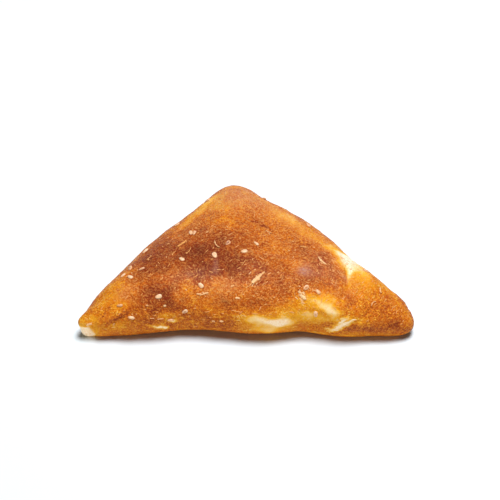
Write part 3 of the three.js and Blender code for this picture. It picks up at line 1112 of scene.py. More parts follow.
PATCHES = each(
    SoftPatch,
    # The dark crown and its spread towards the back left
    ((-16.5, 21.8, 27), (20, 12.5, 30), 8, 0.27, 0.8), ((-9, 14, 27), (13, 5, 9), 0, 0.1),
    ((-22, 27, 27), (9, 10, 30), 40, 0.08), ((-36, 33, 21.5), (14, 5, 12), 56, 0.17),
    ((-38, 21, 23), (6, 6, 10), 40, 0.16), ((-44, 27, 19), (9, 3.5, 10), 54, 0.1),
    ((-36, 36, 20), (8, 3, 8), 56, 0.06), ((-46, 17, 20), (5, 4, 8), 0, 0.11),
    ((-50, 5, 18.5), (3.5, 3, 4), 0, -0.15), ((-30, 1, 13), (5, 4, 4), 0, -0.1),
    ((-14, 2.5, 18.5), (6, 3, 3), 0, -0.1), ((-27, 16, 25), (5, 4, 9), 0, -0.14),
    ((-2, 36, 27), (17, 9, 30), -10, 0.06),
    # The second dark place, over the left end of the fold
    ((-36, 7, 22), (8, 6, 7), 0, 0.32), ((-32, 3, 15), (7, 4, 5), 0, 0.16),
    # The brown field left of the right-hand lobe
    ((33, 16, 24), (9, 8, 12), 0, 0.1), ((20, 9, 24), (14, 5, 6), 0, 0.05),
    ((9, 13, 27), (12, 6.5, 9), 0, 0.14), ((-18, 8, 24), (5, 4, 8), 0, 0.12),
    ((2, 3.5, 21.5), (8, 3, 3), 0, 0.08), ((25, 30, 24), (10, 8, 12), 0, 0.07),
    # The paler ridge along the crown's front
    ((-14, 8.5, 26), (18, 4.5, 12), 0, -0.22),
    # The golden band along the back right edge and the yellow rim at the back left
    ((17, 50, 20), (20, 4.4, 14), -42, -0.28), ((7, 60, 20), (8, 5, 12), -42, 0.06),
    ((33, 36, 18), (10, 5, 12), -44, -0.1), ((-24, 50, 18), (13, 2.6, 10), 50, -0.28),
    ((-13, 62, 18), (5, 2, 6), 50, -0.14), ((-4, 70, 16), (6, 3, 6), 0, -0.12),
    ((-7, 44, 26), (5, 5, 9), 0, -0.08), ((-4, 60, 23), (9, 8, 12), 0, -0.08),
    ((-18.5, 39, 23.5), (4, 3.4, 8), 40, 0.08), ((-9, 3.8, 20.8), (4, 3, 3), 0, 0.14),
    ((31, 24, 23.4), (5, 3.6, 8), 0, 0.16), ((44, 5.5, 20.6), (4, 4, 4), 0, 0.08),
    ((-43, 24, 19), (4, 4, 8), 0, 0.06), ((6, 9.6, 25.4), (3, 2.6, 8), 0, 0.12),
    ((44.6, 12, 21.6), (2.6, 2.6, 6), 0, 0.08), ((-14, 57, 20.5), (6, 8, 8), 40, -0.19),
    ((8, 32, 26), (9, 6, 12), 0, -0.04),
    # The orange lobe at the left end
    ((-56, 12, 17), (10, 6, 9), 40, -0.2), ((-55.5, 5.5, 17.5), (6, 4, 5), 30, -0.14),
    ((-59, 0.6, 9), (4, 3, 4), 0, -0.12), ((-63.5, 1.2, 12), (2.4, 2, 3), 0, -0.2),
    ((-69, 2.6, 8), (4, 4, 4), 0, -0.4), ((-63, 3, 12.4), (2, 1.2, 1.6), 0, 0.18),
    ((-52, 0.6, 10), (6, 3, 4), 0, -0.2), ((-62.4, 0.6, 7.5), (3.5, 3, 5), 0, -0.2),
    ((-28, 0, 4), (17, 4, 3), 0, -0.12),
    # The raw dough in the notch at the left tip
    ((-68.2, 0.8, 2.9), (4.6, 4, 3.5), 0, -1.2, 0.7), ((-57, 0, 5.5), (6, 4, 3), 0, -0.1),
    ((-65.9, 0.6, 4.6), (1.1, 3, 3), 0, -0.6, 0.8),
    # The first pale field on the front wall, with its three rawest places
    ((11.5, 0, 14.5), (16.5, 7, 4.5), 0, -0.3), ((3.4, 0, 15), (3.6, 5, 2.2), 0, -0.24),
    ((9.8, 0, 13.6), (5, 5, 2), 0, -0.28), ((6.6, 0, 16.6), (1.6, 3, 1.8), 0, 0.16),
    ((15, 0, 12.3), (4, 5, 2.2), 0, -0.46, 0.85), ((9, 0, 8.2), (9.5, 5, 4), 0, -0.42),
    ((18.5, 2.4, 18.6), (6.5, 5, 3), 0, -0.12), ((4, 3.5, 19.5), (12, 2.5, 2), 0, 0.14),
    # The second pale field, higher up to the right
    ((27.6, 4.6, 20.8), (8, 6, 3.4), -20, -0.2), ((34.2, 3, 19.4), (4.8, 4, 2.1), -10, -0.38, 0.8),
    ((29.5, 4.2, 21.4), (4.2, 4, 2.2), 0, -0.12), ((27.5, 1, 14.8), (6, 4, 3), 0, -0.2),
    ((26, 1.2, 15.6), (2, 3, 1.2), 0, -0.1), ((29, 5.4, 22.4), (3.6, 3.4, 3), 0, -0.12),
    ((28, 0.6, 13), (5, 3, 2.4), 0, -0.12), ((39, 1.6, 17.4), (3.5, 3, 2.4), 0, -0.44),
    ((38.8, 3, 19.8), (3.4, 3, 3), 0, -0.18), ((36, -0.2, 13.6), (5, 4, 2.6), 0, -0.3),
    # Where the crust tore open at the back of the right-hand lobe
    ((44.6, 27.2, 18.5), (7.6, 3.6, 12), 130, -0.46, 0.9),
    ((47, 28, 13.5), (8, 3.2, 5), 130, -0.46), ((43.6, 22.4, 21), (3.4, 2.6, 8), 105, -0.24),
    ((41, 31, 18), (4.4, 3.2, 8), 130, -0.24), ((43.4, 19.6, 21.8), (4.4, 2, 8), 95, -0.16),
    ((43.4, 14.6, 22), (4, 1, 6), 88, -0.14), ((48.4, 20, 19.6), (4.6, 3, 8), -45, -0.2),
    ((40, 25, 21), (5, 4, 12), 105, -0.19), ((35.4, 30.6, 20), (3, 2.2, 6), -40, -0.14),
    # The dark right tip and its orange rim
    ((57, 0, 10), (10, 5, 4), 0, 0.1), ((64, -0.5, 10.5), (3, 3, 2), 0, 0.12),
    ((70, 3, 9), (2, 5, 4), 0, -0.08),
    # The right-hand lobe
    ((50, 12, 21), (9, 7, 10), -30, -0.2), ((54, 15.5, 19), (5, 4, 8), -40, -0.14),
    ((60, 9, 16), (9, 7, 8), 0, 0.09), ((66, 3, 12), (6, 5, 5), 0, -0.06),
    # The second patch on the next line is a painted highlight: a paler band along the lobe's back
    # right edge
    ((50.5, 0, 13.4), (5, 3, 2.8), 0, -0.22), ((61.5, 13, 14), (8, 2.6, 5), -52, -0.26),
    # Pale and golden places low on the left of the front wall
    ((-33.5, 1.2, 14.5), (4, 3, 2.2), 0, -0.28), ((-30.5, 0.8, 11.2), (2.4, 2, 0.9), 0, -0.6, 0.8),
    ((38, 0, 12.5), (3, 3, 1.2), 0, 0.12), ((-22, 2, 15.5), (9, 4, 3), 0, -0.08),
    ((-11, 0.5, 13), (8, 4, 5), 0, 0.1), ((26, 0, 6), (14, 4, 3), 0, -0.1),
    ((50, 0, 4.5), (14, 4, 3.4), 0, -0.17),
)
LINES = each(
    Line,
    # Painted shade: darker lines along the back fold and the left-hand layer's edge
    (((-0.5, 44.6, 26, 0.1), (3.9, 43.9, 25, 0.34), (7.7, 41.8, 24.8, 0.34),
      (11.1, 38.8, 25.1, 0.1)), 0.5),
    (((-60, 0, 8, 0.1), (-56.9, 0.2, 11.5, 0.25), (-51.7, 1.1, 14.9, 0.28),
      (-49.9, 2, 16.5, 0.2), (-47, 3.6, 18, 0)), 1.1),
    (((-65, 1.6, 9.9, 0), (-61.5, 0.8, 12.4, 0.25), (-57.5, 3.7, 17, 0.3),
      (-53.7, 7.2, 20, 0)), 0.5),
    # The white lip over the right-hand lobe, the shadowed line below it and the thin arc beyond
    (((36.4, -0.4, 6.6, -0.45), (39, -0.6, 9.4, -0.7), (41.8, -0.8, 12.5, -0.65),
      (44.8, -0.7, 14.5, -0.35)), 0.9),
    (((36.4, -0.4, 7.4, -0.2), (38.8, -0.6, 10, -0.34), (41, -0.8, 12.8, -0.3),
      (44, -0.7, 14.4, -0.15)), 2.1),
    (((37, -0.3, 10, -0.3), (39, -0.5, 12.6, -0.55), (41.2, -0.8, 15, -0.5),
      (43.8, -0.6, 16, -0.1)), 0.8),
    (((38.6, -0.3, 14.2, -0.1), (41, -0.8, 16.2, -0.3), (43.4, -0.6, 17, 0)), 0.5),
    (((45.2, -0.7, 14.9, -0.4), (47, -0.9, 13.8, -0.4), (48.6, -0.9, 12.2, -0.1)), 0.5),
    (((36.6, -0.4, 8.2, 0.1), (39, -0.6, 10.9, 0.35), (41.4, -0.8, 13.7, 0.3),
      (43.8, -0.7, 15.3, 0.1)), 0.3),
    (((37.8, -0.4, 6, -0.35), (40, -0.6, 8.4, -0.55), (42.6, -0.7, 11.2, -0.4),
      (44.8, -0.7, 12.8, -0.2)), 0.6),
    # Painted shade along the line below the lip
    (((36, -0.2, 4.2, 0.25), (39.4, -0.5, 5.8, 0.4), (43, -0.6, 8.7, 0.4),
      (46.4, -0.6, 11.2, 0.2)), 0.7),
    (((46, -0.5, 14.6, -0.25), (48.8, -0.5, 14, -0.25), (52.9, 1, 15.9, -0.25),
      (56.3, 4.8, 17.9, 0)), 0.5),
    # The thin pale edges of the left-hand flap and of the crown's flap
    (((-42.3, 0, 7.7, -0.1), (-45.9, 0.3, 11.6, -0.25), (-48.3, 0.9, 14.4, -0.2)), 0.5),
    (((43.4, 12, 22, -0.3), (42, 8.3, 22.1, -0.25), (40, 5.4, 21.7, -0.15),
      (41.5, 1.9, 19.5, 0)), 0.6),
    (((44.8, 21, 21.6, -0.1), (43.8, 17.6, 21.8, -0.2), (43, 14, 21.7, -0.14)), 0.8),
    # Raw streaks where the left of the front wall meets the table, then a pale line just above the
    # table along the rest of the wall
    (((-42, 0, 10.2, -0.2), (-39.5, 0, 9.4, -0.5), (-38, 0, 8.4, -0.3)), 0.7),
    (((-39, 0, 8, -0.3), (-36.6, 0, 8.2, -0.8), (-34, 0.2, 7.2, -0.7), (-32, 0.6, 7.2, 0)), 1.1),
    (((-38, 0, 10.6, -0.2), (-35, 0.2, 9.8, -0.4), (-33, 0.4, 9.4, 0)), 0.6),
    (((-26, 1, 10, -0.2), (-22.5, 1, 10.6, -0.35), (-20, 1, 10, 0)), 0.7),
    (((-8, 1.2, 3, -0.1), (12, 1, 3, -0.3), (28, 1, 3.4, -0.3), (43, -0.6, 3.6, -0.3),
      (52, -1, 2, 0)), 0.7),
)


@dataclass(frozen=True)
class BakingAndPaintedLight:
    """How brown the crust is all over, from 0, raw dough, to 1, darkest, with some painted shade
    and highlight, and its painted sheen.
    """

    top: float = 0.635
    wall: float = 0.65
    foot: float = 0.68
    wall_to_top: Span = (14.0, 23.0)
    foot_to_wall: Span = (2.5, 7.0)
    broad_wander: Wander = Wander(5.0, 41, 1.5)
    close_wander: Wander = Wander(1.7, 44, 0.6)
    fray: Wander = Wander(1.1, 47, 0.5)
    patches: tuple[SoftPatch, ...] = PATCHES
    lines: tuple[Line, ...] = LINES
    # Painted sheen: pale lilac patches that stand in for soft highlights on the crown, the back and
    # the lobes
    painted_sheens: tuple[SoftPatch, ...] = each(
        SoftPatch,
        ((24.6, 17.6, 26), (2.4, 2.6, 9), 0, 1.0), ((28.5, 15.5, 25), (4, 2.4, 9), 0, 0.35),
        ((42, 15.5, 22), (2.4, 1.6, 9), 0, 0.4), ((-13, 18.4, 27), (1.1, 3.4, 9), 0, 0.6),
        ((-24, 13, 26), (8, 3.5, 12), 0, 0.2), ((-9, 9, 25), (8, 3, 12), 0, 0.22),
        ((-3, 59, 23), (11, 8, 12), 0, 0.38), ((17, 50, 21), (12, 4, 12), -42, 0.26),
        ((34, 20, 24), (9, 8, 12), 0, 0.14), ((45, 26, 19), (6, 4, 9), 130, 0.3),
        ((-51, 9, 20), (4, 2.5, 8), 30, 0.2),
    )
    wall_dryness: float = 0.3
    wall_to_dry_top: Span = (17.0, 24.0)
    dry_back: Bulge = Bulge(-4, 57, 16, 0.3)

    def wandered(self, points: Array) -> Array:
        """The points pushed about by noise of two sizes, so that no patch has a smooth edge.

        Args:
            points: Places on the crust.

        Returns:
            The pushed places.
        """
        return points + self.broad_wander.push(points) + self.close_wander.push(points)

    def bake(self, points: Array) -> Array:
        """The wall's, the top's and the foot's own browning by height, plus every patch and line, a
        few of them painted shade and highlight.

        Args:
            points: Places on the crust.

        Returns:
            How brown each place is.
        """
        height = points[:, 2]
        upper = smoothstep(height, *self.wall_to_top)
        lower = 1 - smoothstep(height, *self.foot_to_wall)
        ground = self.wall + (self.top - self.wall) * upper + (self.foot - self.wall) * lower
        pushed = self.wandered(points)
        patched = sum(stain.strength(pushed) for stain in self.patches)
        frayed = points + self.fray.push(points)
        return ground + patched + sum(line.strength(frayed) for line in self.lines)

    def painted_sheen(self, points: Array) -> Array:
        """How much painted sheen lies on the crust, as soft patches added up to 1 at most."""
        pushed = self.wandered(points)
        return np.clip(sum(patch.strength(pushed) for patch in self.painted_sheens), 0, 1)

    def dryness(self, points: Array) -> Array:
        """How dry and flecked the crust looks: full on the top, little on the front wall.

        Args:
            points: Places on the crust.

        Returns:
            From 0, glazed, to 1, dry.
        """
        flat_top = smoothstep(points[:, 2], *self.wall_to_dry_top)
        by_height = self.wall_dryness + (1 - self.wall_dryness) * flat_top
        return np.clip(by_height + self.dry_back.rise(points), 0, 1)


@dataclass(frozen=True)
class CrustFinish:
    """The baked crust: its browning by stops, fine flecks, fibres and a thin egg-wash shine.

    A noise has the size of its lumps, its detail and its roughness, and a warp has its size and
    amount. A grade has two limits and, where they aren't 0 and 1, the values at them.
    """

    stops: Stops = (
        (0.0, linear(250, 231, 204)), (0.14, linear(240, 207, 138)), (0.28, linear(233, 168, 32)),
        (0.42, linear(216, 131, 14)), (0.56, linear(197, 101, 12)), (0.70, linear(166, 74, 15)),
        (0.84, linear(132, 50, 18)), (1.0, linear(106, 36, 18)),
    )
    baked: Numbers = (0.12, 0.5)
    # Uneven browning, in lumps of two sizes
    broad: Numbers = (7.0, 2.0)
    broad_depth: float = 0.4
    mottle: Numbers = (2.4, 3.0, 0.6)
    mottle_warp: Numbers = (5.0, 3.0)
    mottle_depth: float = 0.42
    mottle_by_dryness: Numbers = (0.3, 0.7, 0.75, 1.0)
    # Fine grains, and how much they count from place to place
    grain: Numbers = (0.8, 3.0, 0.6)
    grain_contrast: Numbers = (0.34, 0.66)
    graininess: Numbers = (4.5, 2.0)
    graininess_depth: Numbers = (0.35, 0.65, 0.12, 0.3)
    grain_on_dark: Numbers = (0.6, 0.85, 1.0, 0.5)
    grain_on_pale: Numbers = (0.3, 0.56, 0.4, 1.0)
    grain_by_dryness: Numbers = (0.3, 0.7, 1.05, 1.0)
    # Fibres in three directions, and the paler strands that they make where the crust is glazed
    fibre: Numbers = (1.0, 1.0)
    fibre_stretch: Place = (2.4, 0.42, 1.2)
    fibre_warp: Numbers = (1.1, 1.0)
    fibre_turns: Numbers = (38.0, -42.0, -5.0)
    fibre_contrast: Numbers = (0.57, 0.72)
    fibre_paleness: float = 0.1
    strand_middle: float = 0.22
    strands_by_dryness: Numbers = (0.3, 0.7, 0.16, 0.0)
    strands_by_bake: Numbers = (0.3, 0.56, 0.1, 1.0)
    # How much of the darkening is held back, and how much of the unevenness raw dough shows
    held_back: float = -0.35
    uneven_when_raw: float = 0.3
    # Dry flecks
    wet_fleck: Colour = linear(236, 163, 66)
    dry_fleck: Colour = linear(222, 158, 88)
    fleck: Numbers = (0.75, 2.0)
    fleck_contrast: Numbers = (0.45, 0.68)
    fleck_by_dryness: Numbers = (0.3, 0.7, 0.65, 0.85)
    fleck_share: float = 0.48
    fleck_share_for_dryness: float = 0.22
    fleck_on_dark: Numbers = (0.62, 1.0, 1.0, 0.4)
    # The painted sheen: a dull pale film that stands in for soft highlights
    painted_sheen_film: Colour = linear(178, 132, 120)
    painted_sheen_by_grain: Numbers = (0.0, 1.0, 0.4, 0.9)
    # Relief and shine
    fibre_height: float = 0.6
    fleck_height: float = 0.4
    relief_when_raw: float = 0.2
    bump_strength: float = 0.8
    bump_depth: float = 0.25
    roughness: Numbers = (0.3, 0.7, 0.34, 0.54)
    specular: float = 0.06
    coat: float = 0.02
    coat_roughness: float = 0.28
    glow: Glow = Glow(0.06, (1.0, 0.5, 0.2), 1.5)

    def make(self) -> bpy.types.Material:
        """Builds the crust's material.

        Returns:
            The finished material.
        """
        board = CrustBoard(self)
        flecks = board.flecks()
        return board.surface(
            {
                "Base Color": board.colour(flecks),
                "Roughness": board.grade(board.mottle, *self.roughness),
                "Normal": board.bump(board.relief(flecks), self.bump_strength, self.bump_depth),
                "Specular IOR Level": self.specular,
                "Coat Weight": self.coat,
                "Coat Roughness": self.coat_roughness,
                **self.glow.inputs(),
            }
        )


class CrustBoard(NodeBoard):
    """The crust's nodes, which read the bake with its painted light, the dryness and the painted
    sheen, and noise in millimetres.
    """

    def __init__(self, finish: CrustFinish) -> None:
        """Reads the attributes, and makes the noises that are used more than once.

        The fibres are noise stretched along each of their headings, the strongest counting.

        Args:
            finish: The sizes, strengths and colours.
        """
        super().__init__("baked_crust")
        self.finish = finish
        self.place = self.millimetres()
        self.bake, self.dry = self.attribute("bake"), self.attribute("dry")
        self.baked = self.grade(self.bake, *finish.baked)
        self.mottle = self.noise(self.warped(self.place, *finish.mottle_warp), *finish.mottle)
        self.grain = self.grade(self.noise(self.place, *finish.grain), *finish.grain_contrast)
        stretched = [self.millimetres(finish.fibre_stretch, turn) for turn in finish.fibre_turns]
        pushed = [self.warped(place, *finish.fibre_warp) for place in stretched]
        strongest = self.greatest(*(self.noise(place, *finish.fibre) for place in pushed))
        self.fibres = self.grade(strongest, *finish.fibre_contrast)

    def when_baked(self, raw_share: float) -> object:
        """A share that goes from its value on raw dough to 1 on baked crust."""
        return self.sloped(self.baked, 1 - raw_share, raw_share)

    def shift(self) -> object:
        """What the lumps, the grains and the fibres add to the browning.

        Returns:
            The sum's socket.
        """
        own = self.finish
        lumps = self.product(
            self.centred(self.mottle, own.mottle_depth),
            self.grade(self.dry, *own.mottle_by_dryness),
        )
        broad = self.centred(self.noise(self.place, *own.broad), own.broad_depth)
        graininess = self.product(
            self.grade(self.noise(self.place, *own.graininess), *own.graininess_depth),
            self.grade(self.bake, *own.grain_on_dark),
            self.grade(self.bake, *own.grain_on_pale),
            self.grade(self.dry, *own.grain_by_dryness),
        )
        centred_grain = self.maths("SUBTRACT", 0.5, self.grain)
        grained = self.sloped(centred_grain, graininess, self.maths("ADD", lumps, broad))
        strands = self.product(
            self.maths("SUBTRACT", self.fibres, own.strand_middle),
            self.grade(self.dry, *own.strands_by_dryness),
            self.grade(self.bake, *own.strands_by_bake),
        )
        paler = self.sloped(self.fibres, own.fibre_paleness, strands)
        total = self.maths("SUBTRACT", grained, paler)
        return self.sloped(self.greatest(total, 0.0), own.held_back, total)

    def flecks(self) -> object:
        """Fine flecks, or the grains along the fibres where they are stronger.

        Returns:
            A socket from 0, none, to 1, full.
        """
        own = self.finish
        noise = self.grade(self.noise(self.place, *own.fleck), *own.fleck_contrast)
        fine = self.product(noise, self.grade(self.dry, *own.fleck_by_dryness))
        return self.greatest(fine, self.product(self.fibres, self.grain))

    def colour(self, flecks: object) -> object:
        """The bake's colour, browning with some painted shade and highlight, then the flecks over
        it, then the painted sheen over both.

        Args:
            flecks: The flecks' socket.

        Returns:
            The colour's socket.
        """
        own = self.finish
        uneven = self.sloped(self.shift(), self.when_baked(own.uneven_when_raw), self.bake)
        share = self.product(
            flecks,
            self.sloped(self.dry, own.fleck_share_for_dryness, own.fleck_share),
            self.grade(self.bake, *own.fleck_on_dark),
        )
        fleck = self.mix(self.dry, (*own.wet_fleck, 1.0), (*own.dry_fleck, 1.0))
        flecked = self.mix(share, self.ramp(uneven, own.stops), fleck)
        # Painted sheen, mixed over the colour where its patches lie
        painted_sheen_film = self.product(self.attribute("painted_sheen"), self.grade(self.grain, *own.painted_sheen_by_grain))
        return self.mix(painted_sheen_film, flecked, (*own.painted_sheen_film, 1.0))

    def relief(self, flecks: object) -> object:
        """How high the grains, the fibres and the flecks stand, less on raw dough.

        Args:
            flecks: The flecks' socket.

        Returns:
            The height's socket.
        """
        height = self.sloped(self.fibres, self.finish.fibre_height, self.grain)
        height = self.sloped(flecks, self.finish.fleck_height, height)
        return self.product(height, self.when_baked(self.finish.relief_when_raw))


@dataclass(frozen=True)
class ScrapFinish:
    """What the seeds' and the flakes' finishes share: a tint with fine noise, and a low bump."""

    name: str
    stops: Stops
    grain: Numbers
    grain_depth: float
    bump_strength: float
    bump_depth: float
    roughness: float
    glow: Glow | None = None

    def make(self) -> bpy.types.Material:
        """Builds the material, whose colour is picked by the tint plus the noise about its middle.

        Returns:
            The finished material.
        """
        board = NodeBoard(self.name)
        grain = board.noise(board.millimetres(), *self.grain)
        start = board.maths("SUBTRACT", board.attribute("tint"), self.grain_depth / 2)
        colour = board.ramp(board.sloped(grain, self.grain_depth, start), self.stops)
        bump = board.bump(grain, self.bump_strength, self.bump_depth)
        inputs = {"Base Color": colour, "Roughness": self.roughness, "Normal": bump}
        return board.surface({**inputs, **(self.glow.inputs() if self.glow else {})})


@dataclass(frozen=True)
class SeedFinish(ScrapFinish):
    """Hulled sesame: cream, a little browner at the pointed end, with a soft shine."""

    name: str = "sesame_hull"
    stops: Stops = (
        (0.0, linear(228, 194, 157)), (0.5, linear(208, 150, 102)), (1.0, linear(136, 72, 38)),
    )
    grain: Numbers = (0.5, 2.0)
    grain_depth: float = 0.6
    bump_strength: float = 0.3
    bump_depth: float = 0.06
    roughness: float = 0.42
    glow: Glow | None = Glow(0.15, (1.0, 0.7, 0.4), 0.6)


@dataclass(frozen=True)
class FlakeFinish(ScrapFinish):
    """Loose flakes of crust and seed hull: dry, pale and thin."""

    name: str = "dry_flake"
    stops: Stops = (
        (0.0, linear(232, 198, 150)), (0.6, linear(216, 154, 92)), (1.0, linear(213, 144, 68)),
    )
    grain: Numbers = (0.4, 3.0)
    grain_depth: float = 0.5
    bump_strength: float = 0.4
    bump_depth: float = 0.08
    roughness: float = 0.6


@dataclass
class Crust:
    """The pastry itself: one closed skin with relief, browning with some painted shade and
    highlight, and its finish.
    """

    loaf: Loaf = Loaf()
    lattice: SkinLattice = SkinLattice()
    relief: Relief = Relief()
    baking_and_painted_light: BakingAndPaintedLight = BakingAndPaintedLight()
    finish: CrustFinish = CrustFinish()

    def skin(self) -> SkinMesh:
        """The loaf's skin, moved along its normals by the form's relief and the fine relief.

        Returns:
            The relieved skin, in plan millimetres.
        """
        smooth = skin_of(self.loaf, self.lattice)
        normals = smooth.normals()
        moved = self.relief.form(smooth.points) + self.relief.fine(smooth.points, normals)
        points = smooth.points + normals * moved[:, None]
        points[:, 2] = np.maximum(points[:, 2], 0.0)
        return SkinMesh(points, smooth.triangles)

    def build(self, skin: SkinMesh, placement: Placement) -> bpy.types.Object:
        """Makes the crust's object, with its attributes and its material.

        Args:
            skin: The relieved skin.
            placement: Where the frame has it.

        Returns:
            The finished piece.
        """
        piece = build_mesh("crust", placement.metres(skin.points), skin.triangles)
        # The bake holds browning plus painted shade along creases and a painted highlight on the
        # right-hand lobe
        set_attribute(piece, "bake", self.baking_and_painted_light.bake(skin.points))
        set_attribute(piece, "dry", self.baking_and_painted_light.dryness(skin.points))
        # The painted sheen: pale patches that stand in for soft highlights
        set_attribute(piece, "painted_sheen", self.baking_and_painted_light.painted_sheen(skin.points))
        piece.data.materials.append(self.finish.make())
        return piece


@dataclass
class SkinFinder:
    """Finds places and normals on the finished skin, straight below plan points."""

    skin: SkinMesh
    start_height: float = 100.0

    def __post_init__(self) -> None:
        """Sorts the skin's triangles into a tree for fast casting."""
        self.normals = self.skin.normals()
        self.tree = BVHTree.FromPolygons(self.skin.points.tolist(), self.skin.triangles.tolist())

    def below(self, x: float, y: float) -> tuple[Array, Array] | None:
        """The highest place of the skin at (x, y).

        Args:
            x: Across the pastry.
            y: From the fold towards the back corner.

        Returns:
            The place and the smooth normal there, or None beside the pastry.
        """
        start = Vector((x, y, self.start_height))
        hit, _, face, _ = self.tree.ray_cast(start, Vector((0.0, 0.0, -1.0)))
        if hit is None:
            return None
        normal = self.normals[self.skin.triangles[face]].sum(axis=0)
        return np.array(hit), normal / np.linalg.norm(normal)


@dataclass(frozen=True)
class Scrap:
    """A small thing lying on the crust: its plan place, its turn and its own sizes."""

    x: float
    y: float
    turn: float
    length: float
    width: float
    thickness: float
    tint: float
    curl: float = 0.0
    bend: float = 0.0
    lean: float = 0.0
    hollow: float = 0.0

    def axes(self, normal: Array) -> Array:
        """The scrap's own axes as columns: along, across and out of the crust.

        The first axis is the turn's level heading laid into the crust's plane, and the lean
        then tips the scrap about it.

        Args:
            normal: The crust's normal at the scrap.

        Returns:
            A three by three matrix.
        """
        angle = math.radians(self.turn)
        heading = np.array([math.cos(angle), math.sin(angle), 0.0])
        along = heading - (heading @ normal) * normal
        along /= np.linalg.norm(along)
        across = np.cross(normal, along)
        lean = math.radians(self.lean)
        tipped = across * math.cos(lean) + normal * math.sin(lean)
        return np.column_stack([along, tipped, np.cross(along, tipped)])


@dataclass(frozen=True)
class PodGrid:
    """A closed grid of rows round a long axis, with a single point at each end."""

    rows: int
    columns: int

    def angles(self) -> tuple[Array, Array]:
        """Where each point of the grid is, ends included.

        Returns:
            Each point's angle from the first end, and its angle round the axis.
        """
        row = np.arange(1, self.rows + 1) * math.pi / (self.rows + 1)
        column = np.arange(self.columns) * TURN / self.columns
        polar, around = (grid.ravel() for grid in np.meshgrid(row, column, indexing="ij"))
        return np.concatenate([[0.0], polar, [math.pi]]), np.concatenate([[0.0], around, [0.0]])

    def triangles(self) -> Array:
        """A fan at each end and a band between each row and the next.

        Returns:
            The grid's triangles, facing outwards.
        """
        starts = 1 + np.arange(self.rows) * self.columns
        bands = [band(*pair, self.columns) for pair in itertools.pairwise(starts)]
        first_end = fan(1, 0, self.columns)[:, [1, 0, 2]]
        last_end = fan(starts[-1], starts[-1] + self.columns, self.columns)
        return np.vstack([first_end, *bands, last_end])


@dataclass
class Litter:
    """Many small closed shapes of one kind, laid on the crust and joined into one piece."""

    name: str
    finder: SkinFinder
    points: list[Array] = field(default_factory=list)
    faces: list[Array] = field(default_factory=list)
    tints: list[Array] = field(default_factory=list)
    count: int = 0

    def lay(self, scrap: Scrap, grid: PodGrid, own: Array, tint: Array) -> None:
        """Lays one scrap at its place, turned into the crust's own plane, if there is crust.

        Args:
            scrap: The scrap's place and turn.
            grid: The grid that its points lie on.
            own: Its points about its own middle.
            tint: How brown each point is.
        """
        found = self.finder.below(scrap.x, scrap.y)
        if found is None:
            return
        place, normal = found
        self.points.append(place + own @ scrap.axes(normal).T)
        self.faces.append(grid.triangles() + self.count)
        self.tints.append(np.broadcast_to(tint, len(own)))
        self.count += len(own)

    def build(self, placement: Placement, material: bpy.types.Material) -> bpy.types.Object:
        """Makes the joined piece.

        Args:
            placement: Where the frame has the pastry.
            material: The finish.

        Returns:
            The finished piece.
        """
        points = placement.metres(np.vstack(self.points))
        piece = build_mesh(self.name, points, np.vstack(self.faces))
        set_attribute(piece, "tint", np.clip(np.concatenate(self.tints), 0, 1))
        piece.data.materials.append(material)
        return piece


